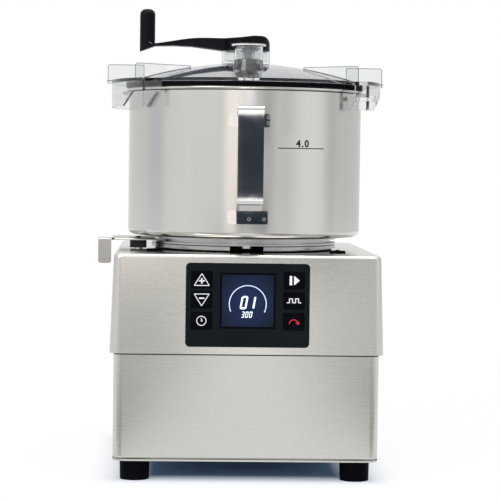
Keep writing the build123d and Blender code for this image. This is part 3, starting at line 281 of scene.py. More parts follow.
# %% [markdown]
# ## Brushed steel
#
# The casing is folded from sheet that was brushed with a fine belt, so it has short scratches
# that run across the front, and on the sides from front to back. Noise that is drawn out along
# one axis gives such scratches. Which axis it is comes from the face's own direction.

# %% Brushed steel
def brushed_steel(name, light, dark, roughness, depth, bulge=0.27):
    """Sheet steel with belt scratches that follow each face and a slight bulge."""
    steel = Finish(name, light[:3], roughness, Metallic=1.0)
    across, along = steel.part("X") - axis_x, steel.part("Y") - axis_y
    sheet = steel.bump((across * across + along * along) * (0 - bulge), 1.0, 1.0)
    coarse, fine = 18, 900
    along_x = steel.noise(1.0, 3.0, steel.stretched(coarse, fine, fine))
    along_y = steel.noise(1.0, 3.0, steel.stretched(fine, coarse, fine))
    facing = steel.node("ShaderNodeNewGeometry", {}, {}, "Normal")
    mostly = 0.7
    side = steel.part("X", facing).size().above(mostly)
    top = steel.part("Z", facing).size().above(mostly)
    grain = (along_x * (1 - side) + along_y * side) * (1 - top * 0.8)
    cloud = steel.noise(9.0, 2.0)
    wear = steel.noise(60.0, 3.0)
    steel.set("Base Color", steel.blend(grain * 0.4 + cloud * 0.6, dark, light))
    steel.set("Roughness", grain * 0.16 + wear * 0.06 + (roughness - 0.11))
    steel.bump(grain, depth, 0.0001, sheet)
    return steel.material


finishes = {}
finishes["brushed_steel"] = brushed_steel(
    "brushed_steel", (0.64, 0.63, 0.59, 1), (0.57, 0.565, 0.535, 1), 0.27, 0.18
)
print("finishes made:", list(finishes))

# %% [markdown]
# ## Polished steel
#
# The bowl is spun on a lathe and polished, so its marks are very fine rings round the axis, and
# it mirrors the room softly. Rings on a turned part only depend on the height, so the noise is
# drawn out flat. Cloudy patches in the roughness keep it from looking like chrome.

# %% Polished steel
def polished_steel(name, light, dark, roughness):
    """Spun and polished steel with fine rings and soft cloudy patches."""
    steel = Finish(name, light[:3], roughness, Metallic=1.0)
    rings = steel.noise(1.0, 2.0, steel.stretched(12, 12, 1800))
    cloud = steel.noise(14.0, 3.0)
    steel.set("Base Color", steel.blend(rings * 0.4 + cloud * 0.6, dark, light))
    steel.set("Roughness", rings * 0.05 + cloud * 0.08 + (roughness - 0.065))
    steel.bump(rings, 0.12, 0.0001)
    return steel.material


turned = {
    "polished_steel": ((0.645, 0.635, 0.61, 1), (0.605, 0.6, 0.58, 1), 0.2),
    "blade_steel": ((0.66, 0.66, 0.66, 1), (0.55, 0.55, 0.56, 1), 0.16),
    "shaft_steel": ((0.6, 0.6, 0.6, 1), (0.48, 0.48, 0.49, 1), 0.22),
    "screw_steel": ((0.55, 0.55, 0.55, 1), (0.4, 0.4, 0.41, 1), 0.3),
    "dark_screw": ((0.1, 0.1, 0.105, 1), (0.05, 0.05, 0.055, 1), 0.35),
}
for name, looks in turned.items():
    finishes[name] = polished_steel(name, *looks)
print("finishes made:", list(finishes))

# %% [markdown]
# The handle is bent from bright rolled strip, which is nearly a mirror. It has no rings; rolling
# leaves it a little wavy, so what it mirrors is mottled. The latch and the ring under the bowl
# are cut from plain sheet that is duller than the casing.

# %% Rolled strip and plain sheet
def plain_sheet(name, light, dark, roughness, waviness):
    """Sheet steel without a brushed grain, a little wavy."""
    steel = Finish(name, light[:3], roughness, Metallic=1.0)
    waves = steel.noise(45.0, 2.0)
    specks = steel.noise(500.0, 2.0)
    steel.set("Base Color", steel.blend(waves * 0.7 + specks * 0.3, dark, light))
    steel.set("Roughness", specks * 0.04 + waves * 0.04 + (roughness - 0.04))
    steel.bump(waves, 1.0, waviness * mm)
    return steel.material


rolled = {
    "handle_steel": ((0.68, 0.67, 0.655, 1), (0.59, 0.59, 0.59, 1), 0.05, 0.02),
    "latch_steel": ((0.5, 0.49, 0.46, 1), (0.42, 0.415, 0.4, 1), 0.32, 0.01),
    "ring_steel": ((0.5, 0.505, 0.5, 1), (0.4, 0.405, 0.41, 1), 0.26, 0.01),
}
for name, looks in rolled.items():
    finishes[name] = plain_sheet(name, *looks)
print("finishes made:", len(finishes))

# %% [markdown]
# ## Clear plastic
#
# The lid is moulded from clear polycarbonate, with the faint haze of the tool and of washing up.
# Its edges look dark, because they bend light away. That darkness is painted into the colour as
# painted shade, with two masks: one where the surface turns from the camera, and one where it
# turns a corner, which is where the true direction and a rounded one differ. Both are weaker in
# the low lid than in the fins above it.

# %% Clear plastic
# Painted shade: the grazing and corner colours are dark tones that stand in for the dark its edges
# bend in.
clear_tint, painted_grazing_colour = (0.83, 0.845, 0.85, 1), (0.2, 0.235, 0.32, 1)
painted_corner_colour = (0.04, 0.045, 0.06, 1)
fins_start, fins_whole = 394 * mm, 398 * mm
clear = Finish("clear_plastic", (0.82, 0.84, 0.85), 0.03, Transmission_Weight=1.0, IOR=1.585)
haze = clear.noise(220.0, 3.0)
grazing = clear.node("ShaderNodeLayerWeight", {}, {"Blend": 0.5}, "Facing")
true_way = clear.node("ShaderNodeNewGeometry", {}, {}, "Normal")
rounded_way = clear.node("ShaderNodeBevel", {"samples": 6}, {"Radius": 1.6 * mm})
both_ways = {0: true_way, 1: rounded_way}
alike = clear.node("ShaderNodeVectorMath", {"operation": "DOT_PRODUCT"}, both_ways, "Value")
fins = clear.ramp(clear.part("Z"), fins_start, fins_whole)
# Painted shade: these masks darken the colour at corners and where the surface turns from the
# camera.
edge = clear.ramp(1 - alike, 0.006, 0.08) * (fins * 0.7 + 0.3)
painted_grazing_mask = clear.ramp(grazing, 0.55, 1.0) * (fins * 0.65 + 0.35)
body = clear.blend(painted_grazing_mask, clear_tint, painted_grazing_colour)
clear.set("Base Color", clear.blend(edge, body, painted_corner_colour))
clear.set("Roughness", haze * 0.05)
clear.bump(clear.noise(35.0, 1.0), 0.05, 0.0003)
finishes["clear_plastic"] = clear.material
print("fins start at", round(fins_start / mm), "mm")


# %% [markdown]
# ## Moulded plastics and rubber
#
# Black plastic has a fine grain from the mould and a soft sheen. Rubber is duller, with tiny pits.
# The same recipe serves both, with its own grain size, depth and roughness each time.

# %% Plastics and rubber
def moulded(name, colour, pale, roughness, grain_size, depth, shine=0.18):
    """Plastic or rubber with a mould grain of some size in millimetres."""
    made = Finish(name, colour, roughness, Specular_IOR_Level=shine)
    grain = made.noise(1 / (grain_size * mm), 2.0)
    scuff = made.noise(45.0, 4.0)
    made.set("Base Color", made.blend(made.ramp(scuff, 0.45, 0.8), (*colour, 1), (*pale, 1)))
    made.set("Roughness", grain * 0.12 + scuff * 0.1 + (roughness - 0.11))
    made.bump(grain, depth, 0.0002)
    return made.material


soft_looks = {
    "black_plastic": ((0.0028, 0.003, 0.0058), (0.007, 0.0075, 0.011), 0.36, 0.5, 0.25, 0.09),
    "black_rubber": ((0.0015, 0.0015, 0.003), (0.004, 0.004, 0.006), 0.55, 0.35, 0.35, 0.03),
    "scraper_rubber": ((0.11, 0.115, 0.12), (0.16, 0.165, 0.17), 0.6, 0.4, 0.3),
    "cutter_plastic": ((0.03, 0.032, 0.036), (0.06, 0.062, 0.066), 0.4, 0.6, 0.25),
    "arm_plastic": ((0.13, 0.14, 0.155), (0.19, 0.2, 0.21), 0.42, 0.6, 0.25),
    "module": ((0.008, 0.008, 0.009), (0.02, 0.02, 0.021), 0.45, 0.4, 0.2),
    "panel_foil": ((0.006, 0.0085, 0.0105), (0.008, 0.0105, 0.013), 0.42, 0.3, 0.2, 0.05),
    "key_foil": ((0.0016, 0.002, 0.0045), (0.0024, 0.003, 0.006), 0.38, 0.3, 0.2, 0.03),
    "electronics": ((0.015, 0.10, 0.045), (0.03, 0.15, 0.07), 0.5, 1.2, 0.5),
}
for name, looks in soft_looks.items():
    finishes[name] = moulded(name, *looks)
print("finishes made:", len(finishes))

# %% [markdown]
# ## Parts inside the casing
#
# The motor isn't seen from outside, but the machine can be opened, so its castings, core and
# windings get a finish too: sand-cast aluminium, stacked sheet iron and lacquered copper wire.

# %% Cast aluminium, core iron and copper
cast = Finish("cast_aluminium", (0.5, 0.5, 0.5), 0.5, Metallic=1.0)
sand = cast.noise(700.0, 3.0)
cast.set("Base Color", cast.blend(sand, (0.42, 0.42, 0.425, 1), (0.58, 0.58, 0.58, 1)))
cast.set("Roughness", sand * 0.2 + 0.4)
cast.bump(sand, 0.5, 0.0003)
finishes["cast_aluminium"] = cast.material

core = Finish("core_iron", (0.2, 0.2, 0.21), 0.5, Metallic=1.0)
sheets = core.noise(1.0, 0.0, core.stretched(3, 3, 2000))
core.set("Base Color", core.blend(sheets, (0.13, 0.13, 0.14, 1), (0.27, 0.27, 0.28, 1)))
core.set("Roughness", sheets * 0.2 + 0.4)
core.bump(sheets, 0.5, 0.0002)
finishes["core_iron"] = core.material

copper = Finish("winding_copper", (0.55, 0.2, 0.08), 0.35, Metallic=1.0)
wires = copper.noise(1.0, 1.0, copper.stretched(160, 160, 1400))
copper.set("Base Color", copper.blend(wires, (0.3, 0.08, 0.03, 1), (0.75, 0.3, 0.12, 1)))
copper.bump(wires, 0.8, 0.0005)
finishes["winding_copper"] = copper.material
print("inner finishes:", list(finishes)[-3:])

# %% [markdown]
# ## Display glass
#
# The display is a dark blue window with a light behind it, brighter in the middle than at the
# rim. A distance from the window's middle gives that falloff.

# %% Display
window_low, window_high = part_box("display_window")
window_middle = (window_low + window_high) / 2
glow_reach = 1 / 30
glass = Finish("display", (0.004, 0.008, 0.02), 0.2, Specular_IOR_Level=0.1)
offset = glass.node(
    "ShaderNodeVectorMath", {"operation": "SUBTRACT"}, {0: glass.place, 1: window_middle}
)
distance = glass.node("ShaderNodeVectorMath", {"operation": "LENGTH"}, {0: offset}, "Value")
glow = glass.ramp(distance * (1 / glow_reach), 0.15, 1.0)
glass.set("Base Color", glass.blend(glow, (0.004, 0.011, 0.036, 1), (0.003, 0.006, 0.015, 1)))
glass.set("Emission Color", glass.blend(glow, (0.005, 0.013, 0.048, 1), (0.0015, 0.004, 0.012, 1)))
glass.set("Emission Strength", 1.0)
finishes["display"] = glass.material
print("display glows over", round(glow_reach / mm), "mm")

# %% [markdown]
# ## Inks, lit bars, film and welds
#
# The signs are printed in white and red ink, and the fill mark in dark blue on a strip of film.
# The display's bars and its ring give off light of their own, with a slight flicker in the tone.
# A weld spot is matt and pale, as steel gets under the welding tip.

# %% Printed and lit finishes
def glowing(name, colour, dim, bright):
    """A finish that gives off light, with clouds of two tones in it."""
    made = Finish(name, colour, 0.4)
    made.set("Emission Color", made.blend(made.noise(400.0, 1.0), dim, bright))
    made.set("Emission Strength", 0.9)
    return made.material


white_ink = moulded("white_ink", (0.93, 0.94, 0.95), (0.97, 0.97, 0.98), 0.5, 0.3, 0.1)
red_ink = moulded("red_ink", (0.62, 0.02, 0.03), (0.7, 0.04, 0.05), 0.5, 0.3, 0.1)
mark_ink = moulded("mark_ink", (0.012, 0.016, 0.03), (0.03, 0.035, 0.05), 0.45, 0.3, 0.1)
lit = glowing("lit_segment", (0.8, 0.86, 0.95), (0.62, 0.76, 0.98, 1), (0.92, 0.96, 1.0, 1))
faint = glowing("faint_segment", (0.5, 0.56, 0.7), (0.34, 0.42, 0.62, 1), (0.5, 0.58, 0.8, 1))
film = Finish("fill_film", (0.64, 0.635, 0.6), 0.25, Metallic=1.0)
creases = film.noise(60.0, 3.0)
film.set("Base Color", film.blend(creases, (0.615, 0.615, 0.575, 1), (0.665, 0.66, 0.62, 1)))
film.set("Roughness", creases * 0.08 + 0.2)
weld = Finish("weld_spot", (0.8, 0.8, 0.8), 0.5, Metallic=0.3)
heat = weld.noise(900.0, 2.0)
weld.set("Base Color", weld.blend(heat, (0.6, 0.6, 0.6, 1), (0.95, 0.95, 0.94, 1)))
print("inks:", [ink.name for ink in (white_ink, red_ink, mark_ink)])

# %% [markdown]
# ## Dressing the solid parts
#
# Every solid node arrives with a plain material named after its finish. Its slot is given the
# material made above, and nothing else about the node changes. Four pieces of steel are neither
# brushed nor spun, so they get the strip or a sheet instead.

# %% Give each node its finish
strip_and_sheet = {
    "bowl_handle": "handle_steel",
    "latch_lever": "latch_steel",
    "support_ring": "ring_steel",
    "bowl_disc": "ring_steel",
}
for name, node in nodes.items():
    for index, worn in enumerate(node.data.materials):
        node.data.materials[index] = finishes[worn.name.split(".")[0]]
for name, finish in strip_and_sheet.items():
    nodes[name].data.materials[0] = finishes[finish]
print("dressed", len(nodes), "nodes with", len(finishes), "finishes")

# %% [markdown]
# ## Signs on the control panel
#
# The keys carry printed signs, and the display shows a lit ring with two rows of numbers. Both are
# flat shapes a tenth of a millimetre thick. Each is drawn flat in the middle of the scene, where
# widths and heights are easy to give, and then laid on the panel, which leans back by two degrees.
# The heights of the keys and of the panel's foil are measured outwards from the panel's middle.

# %% The leaning panel
panel_lean = 2.045
panel_reach, panel_height = 139.27 * mm, 175.5 * mm
panel_tilt = radians(90 - panel_lean)
panel_middle = Vector((axis_x, axis_y - panel_reach, panel_height))
sign_thickness = 0.1 * mm
key_top, panel_top = 2.1, 1.6


def lay(piece, across, up, out, body):
    """Lay a flat piece on the panel, in millimetres from its middle."""
    piece.data.transform(Matrix.Translation((across * mm, up * mm, out * mm)))
    piece.data.transform(Matrix.Rotation(panel_tilt, 4, "X"))
    piece.data.transform(Matrix.Translation(panel_middle))
    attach(piece, body)
    return piece


print("panel leans", round(90 - degrees(panel_tilt), 3), "degrees")


# %% [markdown]
# Four small helpers do what a hand does again and again. The first two start a flat shape with
# nothing else selected, and fit it to a size. The other two cut out the middle of a shape to leave
# a stroke, and thicken it. Every closed shape ends alike, with its faces turned outwards and a
# finish, so that is a step of its own.

# %% Drawing flat shapes
def start_shape(name, corners):
    """A flat shape with a number of corners, in edit mode."""
    bpy.ops.object.select_all(action="DESELECT")
    bpy.ops.mesh.primitive_circle_add(vertices=corners, radius=1 * mm, fill_type="NGON")
    bpy.context.object.name = name
    bpy.ops.object.mode_set(mode="EDIT")
    return bpy.context.object


def fit(piece, width, height):
    """Stretch the whole shape to a size in millimetres, with its middle at the centre."""
    bpy.ops.object.mode_set(mode="OBJECT")
    xs = [point.co.x for point in piece.data.vertices]
    ys = [point.co.y for point in piece.data.vertices]
    middle = ((min(xs) + max(xs)) / 2, (min(ys) + max(ys)) / 2)
    size = (width * mm / (max(xs) - min(xs)), height * mm / (max(ys) - min(ys)), 1)
    bpy.ops.object.mode_set(mode="EDIT")
    bpy.ops.mesh.select_all(action="SELECT")
    bpy.ops.transform.translate(value=(-middle[0], -middle[1], 0))
    bpy.ops.transform.resize(value=size, center_override=(0, 0, 0))


def keep_stroke(stroke):
    """Cut the middle out of a flat shape and leave a line round it."""
    bpy.ops.mesh.select_all(action="SELECT")
    bpy.ops.mesh.inset(thickness=stroke * mm)
    bpy.ops.mesh.delete(type="FACE")


def complete(piece, ink):
    """Turn all faces outwards, leave edit mode and give the shape its finish."""
    bpy.ops.mesh.select_all(action="SELECT")
    bpy.ops.mesh.normals_make_consistent(inside=False)
    bpy.ops.object.mode_set(mode="OBJECT")
    piece.data.materials.append(ink)


def thicken(piece, ink, thickness=sign_thickness):
    """Give a flat shape its thickness and complete it."""
    bpy.ops.mesh.select_all(action="SELECT")
    bpy.ops.mesh.extrude_region_move(TRANSFORM_OT_translate={"value": (0, 0, thickness)})
    complete(piece, ink)
    return piece


print("signs are", round(sign_thickness / mm, 2), "mm thick")


# %% [markdown]
# Most signs are made of bars. Their shapes are drawn round the same middle, moved apart within
# their plane and joined into one mesh for each sign.

# %% Bars and joined shapes
def bar(name, width, height, ink, corner=0.25):
    """A flat bar with softened corners."""
    piece = start_shape(name, 4)
    bpy.ops.transform.rotate(value=radians(45), center_override=(0, 0, 0))
    fit(piece, width, height)
    bpy.ops.mesh.bevel(affect="VERTICES", offset=corner * mm, segments=2)
    return thicken(piece, ink)


def join(name, parts):
    """Join several pieces into one mesh."""
    bpy.ops.object.select_all(action="DESELECT")
    for part in parts:
        part.select_set(True)
    bpy.context.view_layer.objects.active = parts[0]
    bpy.ops.object.join()
    parts[0].name = name
    return parts[0]


def moved(piece, across, up):
    """Move a flat piece within its own plane."""
    piece.data.transform(Matrix.Translation((across * mm, up * mm, 0)))
    return piece


left_keys, right_keys = -45.4, 45.4
top_row, middle_row = 24.8, 5.0
print("keys stand", right_keys, "mm from the middle")


# %% [markdown]
# The upper two keys on the left have a plus and a minus inside a triangle. A triangle is drawn
# large at first, so that its corners can be rounded before it is fitted.

# %% Triangles of plus and minus
def triangle(name, width, height, ink, stroke=None, turn=0.0):
    """A triangle with rounded corners, filled or as a line."""
    rounding = 1.3 if stroke else 0.5
    piece = start_shape(name, 3)
    bpy.ops.transform.resize(value=(10, 10, 1), center_override=(0, 0, 0))
    bpy.ops.mesh.bevel(affect="VERTICES", offset=rounding * mm, segments=4)
    fit(piece, width, height)
    if stroke:
        keep_stroke(stroke)
    thicken(piece, ink)
    piece.data.transform(Matrix.Rotation(turn, 4, "Z"))
    return piece


outline = {"width": 15.2, "height": 12.2, "ink": white_ink, "stroke": 0.74}
plus = [
    triangle("plus_outline", **outline),
    moved(bar("plus_across", 5.6, 1.4, white_ink), 0, -1.2),
    moved(bar("plus_upright", 1.4, 5.6, white_ink), 0, -1.2),
]
lay(join("sign_plus", plus), left_keys, top_row, key_top, "key_plus")
minus = [
    triangle("minus_outline", **outline, turn=pi),
    moved(bar("minus_across", 5.4, 1.3, white_ink), 0, 1.6),
]
lay(join("sign_minus", minus), left_keys, middle_row, key_top, "key_minus")
print("signs on the plus and minus keys")

# %% [markdown]
# The timer key has a clock face, which is a ring with two hands.

# %% Clock
clock = start_shape("clock_ring", 48)
fit(clock, 9.8, 9.8)
keep_stroke(0.72)
thicken(clock, white_ink)
face = [
    clock,
    moved(bar("clock_long_hand", 0.9, 3.1, white_ink), 0, 1.1),
    moved(bar("clock_short_hand", 1.9, 1.2, white_ink), 0.4, 0),
]
lay(join("sign_clock", face), left_keys, -15.6, key_top, "key_timer")
print("clock on the timer key")

# %% [markdown]
# On the right, the start key has an arrow behind a bar, and the pulse key a square wave: five
# level bars, each with its place and width, and four upright ones that join them.

# %% Start and pulse
start_shift = -0.4
arrow = triangle("start_arrow", 9.3, 5.6, white_ink, turn=-pi / 2)
start = [moved(arrow, 3.0, 0), moved(bar("start_bar", 2.5, 9.1, white_ink), -2.9, 0)]
lay(join("sign_start", start), right_keys + start_shift, top_row, key_top, "key_start")
levels = [(-5.6, -2, 2.8), (-3, 2, 3.4), (0, -2, 3.4), (3, 2, 3.4), (5.6, -2, 2.8)]
wave = [moved(bar("pulse_level", width, 0.9, white_ink), u, v) for u, v, width in levels]
wave += [moved(bar("pulse_edge", 0.9, 4.9, white_ink), u, 0) for u in (-4.5, -1.5, 1.5, 4.5)]
lay(join("sign_pulse", wave), right_keys, middle_row, key_top, "key_pulse")
print("signs on the start and pulse keys")


# %% [markdown]
# ## Arcs
#
# The red sign for running backwards and the lit ring of the display are arcs. An arc is the path
# of a small upright rectangle that is spun round a centre, so it comes out closed at both ends.

# %% A spun arc
def arc(name, radius, stroke, thickness, start, end, ink, steps=48):
    """A flat arc round the origin, between two angles in degrees."""
    bpy.ops.object.select_all(action="DESELECT")
    bpy.ops.mesh.primitive_plane_add(
        size=1, location=(radius * mm, 0, thickness * mm / 2), rotation=(radians(90), 0, 0)
    )
    piece = bpy.context.object
    piece.name = name
    piece.scale = (stroke * mm, thickness * mm, 1)
    bpy.ops.object.transform_apply(location=True, rotation=True, scale=True)
    bpy.ops.object.mode_set(mode="EDIT")
    bpy.ops.mesh.select_all(action="SELECT")
    bpy.ops.mesh.spin(
        steps=steps, angle=radians(end - start), center=(0, 0, 0), axis=(0, 0, -1)
    )
    bpy.ops.mesh.select_all(action="SELECT")
    bpy.ops.mesh.remove_doubles(threshold=0.001 * mm)
    complete(piece, ink)
    piece.data.transform(Matrix.Rotation(radians(start), 4, "Z"))
    print(name, "has a radius of", radius, "mm")
    return piece


back_arc = arc("reverse_arc", 4.3, 0.95, 0.1, 22, 178, red_ink, steps=24)
head = triangle("reverse_head", 4.2, 3.2, red_ink, turn=pi + radians(18))
back = [back_arc, moved(head, 4.15, 0.5)]
lay(join("sign_reverse", back), right_keys, -18.0, key_top, "key_reverse")
lit_ring = arc("display_ring", 18.2, 0.85, 0.1, -26, 204, faint)
lay(lit_ring, 0, 1.2, panel_top, "base")

# %% [markdown]
# The display's window shows a dark border, where its frame lies behind the glass. It is the same
# stroke as round a sign, but as large as the window, less a little all round.

# %% Dark border of the display
border_stroke, border_gap = 2.2, 0.2
window_size = (window_high - window_low) / mm
border = start_shape("display_border", 4)
bpy.ops.transform.rotate(value=radians(45), center_override=(0, 0, 0))
fit(border, window_size.x - 2 * border_gap, window_size.z - 2 * border_gap)
keep_stroke(border_stroke)
thicken(border, finishes["key_foil"])
border_middle = (window_middle - panel_middle) / mm
lay(border, border_middle.x, border_middle.z, panel_top, "base")
print("border", [round(part / mm, 1) for part in border.dimensions])

# %% [markdown]
# ## Numbers of lit segments
#
# Each digit of the display is made of up to seven lit bars. Which of them are lit is kept as a
# short word of segment letters, in the usual order round the digit: a at the top, b and c on the
# right, d at the bottom, e and f on the left, g in the middle. The digits lean by ten degrees.

# %% Digits
lit_segments = {"0": "abcdef", "1": "bc", "3": "abcdg"}


def digit(figure, width, height, stroke):
    """One leaning digit of lit bars."""
    side, half = (width - stroke) / 2, (height - stroke) / 2
    places = {
        "a": (0, half, width - 1.2 * stroke, stroke),
        "b": (side, half / 2, stroke, half),
        "c": (side, -half / 2, stroke, half),
        "d": (0, -half, width - 1.2 * stroke, stroke),
        "e": (-side, -half / 2, stroke, half),
        "f": (-side, half / 2, stroke, half),
        "g": (0, 0, width - 1.6 * stroke, stroke),
    }
    bars = []
    for letter in lit_segments[figure]:
        u, v, across, up = places[letter]
        bars.append(moved(bar("segment_" + letter, across, up, lit, stroke / 3), u, v))
    piece = join("digit_" + figure, bars)
    piece.data.transform(Matrix.Shear("XZ", 4, (tan(radians(10)), 0)))
    return piece


def show_number(name, figures, size, up):
    """A row of digits, each with its figure and its place across the display."""
    for index, (figure, across) in enumerate(figures):
        shown = digit(figure, *size)
        shown.name = name + str(index)
        lay(shown, across, up, panel_top, "base")


show_number("speed_digit_", [("0", -3.7), ("1", 4.0)], (6.6, 13.0, 1.75), 2.7)
show_number("turns_digit_", [("3", -4.8), ("0", -0.9), ("0", 3.0)], (2.7, 6.0, 0.62), -9.1)
print("five digits lit")

# %% [markdown]
# ## Round the bowl
#
# The fill mark is printed on the bowl's wall, and the handle's tabs show the dimples of spot
# welds. They follow the wall, so a flat shape is wrapped round the bowl's axis: its width becomes
# a turn, its height stays a height, and its thickness goes outwards.

# %% Wrapping round the bowl
bowl_radius, front = 121.25, -90


def wrap(piece, radius, turn, height, body):
    """Wrap a flat piece round the bowl; turn is in degrees from the front to the right."""
    for point in piece.data.vertices:
        angle = radians(turn) + point.co.x / (radius * mm)
        reach = radius * mm + point.co.z
        point.co = (
            axis_x + reach * sin(angle),
            axis_y - reach * cos(angle),
            height * mm + point.co.y,
        )
    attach(piece, body)
    return piece


def around(piece, height):
    """Set an arc on the bowl's axis at a height."""
    piece.data.transform(Matrix.Translation((axis_x, axis_y, height * mm)))
    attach(piece, "bowl")
    return piece


print("bowl is", 2 * bowl_radius, "mm wide")

# %% [markdown]
# A dark line of painted shade is drawn under the bowl's rolled rim, where the gap between the roll
# and the wall lies in shade. The fill mark stands to the right of the front: a strip of film, a
# line on it, and a number over the line.

# %% Painted shade under the rim, and the fill mark
# Painted shade: a near-black ring under the rolled rim.
rim_shade_line = arc("rim_shadow", bowl_radius, 0.5, 1.0, 0, 359.6, finishes["module"], steps=96)
around(rim_shade_line, 387.3)
strip = arc("fill_film", bowl_radius, 0.04, 17.6, front + 12.5, front + 40.5, film.material)
around(strip, 326.6)
line = arc("fill_line", bowl_radius + 0.1, 0.14, 0.95, front + 13.6, front + 38.6, mark_ink)
around(line, 329.9)
bpy.ops.object.select_all(action="DESELECT")
bpy.ops.object.text_add()
number = bpy.context.object
number.name = "fill_number"
number.data.body = "4.0"
number.data.size = 9.8 * mm
number.data.offset = 0.3 * mm
number.data.space_character = 1.25
number.data.extrude = 0.08 * mm
number.data.align_x = "CENTER"
bpy.ops.object.convert(target="MESH")
number.data.materials.append(mark_ink)
wrap(number, bowl_radius + 0.12, 26.3, 331.9, "bowl")
print("fill mark at 330 mm, with", len(number.data.vertices), "points in its number")


# %% [markdown]
# The handle's tabs are held by seven welds: four at the top, in two pairs, and three in a row at
# the bottom. Each one is a shallow disc with a raised rim, at a turn and a height on the bowl.

# %% Weld spots
def weld_spot(name, radius, turn, height):
    """A round dimple with a raised rim, pressed by a welding tip."""
    piece = start_shape(name, 20)
    fit(piece, 3.4, 3.4)
    bpy.ops.mesh.extrude_region_move(TRANSFORM_OT_translate={"value": (0, 0, 0.28 * mm)})
    bpy.ops.transform.resize(value=(0.86, 0.86, 1), center_override=(0, 0, 0))
    bpy.ops.mesh.inset(thickness=0.3 * mm, depth=-0.3 * mm)
    bpy.ops.mesh.inset(thickness=0.6 * mm, depth=-0.1 * mm)
    complete(piece, weld.material)
    return wrap(piece, radius, turn, height, "bowl")


tab_radius = 122.75
upper_spots = [(-6.3, 359.9), (-6.3, 354.4), (8.9, 360.4), (8.9, 354.9)]
lower_spots = [(-7.3, 259.6), (0.3, 259.6), (7.3, 259.7)]
spots = upper_spots + lower_spots
for index, (turn, height) in enumerate(spots):
    weld_spot("weld_spot_" + str(index), tab_radius, turn, height)
print(len(spots), "weld spots on the handle's tabs")

# %% [markdown]
# ## Dark sleeve on the stud, as painted shade
#
# The stud in the deck's gap keeps the bowl from turning. A short black rubber sleeve round its
# foot
# is painted shade: it darkens the part of the stud that lies in the shade of the gap, so only its
# polished top shows.

# %% Sleeve of painted shade on the stud
stud_low, stud_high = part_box("bowl_stud")
stud_middle = (stud_low + stud_high) / 2
stud_size = stud_high - stud_low
shade_sleeve_gap, shade_sleeve_wall, shade_sleeve_height = 0.6 * mm, 0.55 * mm, 3.9 * mm
bpy.ops.object.select_all(action="DESELECT")
bpy.ops.mesh.primitive_cylinder_add(
    vertices=48,
    radius=stud_size.x / 2 + shade_sleeve_gap,
    depth=shade_sleeve_height,
    end_fill_type="NOTHING",
    location=(stud_middle.x, stud_middle.y, stud_low.z + shade_sleeve_height / 2),
)
shade_sleeve = bpy.context.object
shade_sleeve.name = "stud_shade_sleeve"
thick = shade_sleeve.modifiers.new("thickness", "SOLIDIFY")
thick.thickness = shade_sleeve_wall
soft_edge = shade_sleeve.modifiers.new("soft_edge", "BEVEL")
soft_edge.width = 0.18 * mm
soft_edge.segments = 2
for modifier in ("thickness", "soft_edge"):
    bpy.ops.object.modifier_apply(modifier=modifier)
bpy.ops.object.transform_apply(location=True, rotation=True, scale=True)
bpy.ops.object.shade_smooth_by_angle(angle=radians(40))
# Painted shade: black rubber on the stud's foot, where the gap lies in shade.
shade_sleeve.data.materials.append(finishes["black_rubber"])
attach(shade_sleeve, "base")
print("shade_sleeve", round(shade_sleeve_height / mm, 2), "of", round(stud_size.z / mm, 2), "mm")

# %% [markdown]
# ## Painted shade round the ring, and a painted highlight on the cap
#
# A thin black ring of painted shade lies round the foot of the bowl's ring, where the deck is in
# the ring's shade, open at the gap in front. The black cap on the feed tube has a fine pale line
# round it, a painted highlight where its moulded rim catches the light.

# %% Painted shade round the ring and painted highlight round the cap
gap = 11
ring_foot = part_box("support_ring")[0].z
black = finishes["black_rubber"]
# Painted shade: a black ring where the deck lies in the shade of the ring's foot.
foot_shade = arc("ring_foot_shade", 91.4, 2.4, 1.5, front + gap, front + 360 - gap, black, steps=96)
foot_shade.data.transform(Matrix.Translation((axis_x, axis_y, ring_foot)))
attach(foot_shade, "base")
cap_low, cap_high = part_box("feed_cap")
cap_middle = (cap_low + cap_high) / 2
# Painted highlight: a pale ring of white ink where the cap's rim catches the light.
cap_rim_highlight = arc("cap_rim_highlight", 17.22, 0.3, 1.0, 90.2, 449.8, white_ink, steps=72)
below_top = 1.9 * mm
place = (cap_middle.x, cap_middle.y, cap_high.z - below_top)
cap_rim_highlight.data.transform(Matrix.Translation(place))
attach(cap_rim_highlight, "cap")
print("seal lies at", round(ring_foot / mm, 1), "mm")


# %% [markdown]
# ## Small marks
#
# The disc under the bowl has a small punched dimple in its edge, which is wrapped round like the
# fill mark. It is coloured near black, painted shade for the hollow of the dimple.

# %% Dimple in the disc
def dimple(name, width, height):
    """A flat oval with a sunken middle, coloured near black as painted shade."""
    piece = start_shape(name, 20)
    fit(piece, width, height)
    bpy.ops.mesh.extrude_region_move(TRANSFORM_OT_translate={"value": (0, 0, 0.12 * mm)})
    bpy.ops.mesh.inset(thickness=0.25 * mm, depth=-0.1 * mm)
    # Painted shade: the dimple is coloured near black for the shade in its hollow.
    complete(piece, finishes["module"])
    return piece


disc_low, disc_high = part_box("bowl_disc")
disc_reach = (disc_high.x - disc_low.x) / 2 / mm
wrap(dimple("disc_dimple_shade", 4.6, 2.0), disc_reach, -12.2, 239.4, "bowl")
print("dimple at", round(disc_reach, 1), "mm from the axis")


# %% [markdown]
# The latch plate has a dark mark of painted shade where a notch lies in shade, and the lever's
# grip a painted highlight, a pale line where the edge of its mould catches the light. Both lie on
# slanted faces, so a ray from the front finds the face, and the mark leans with it.

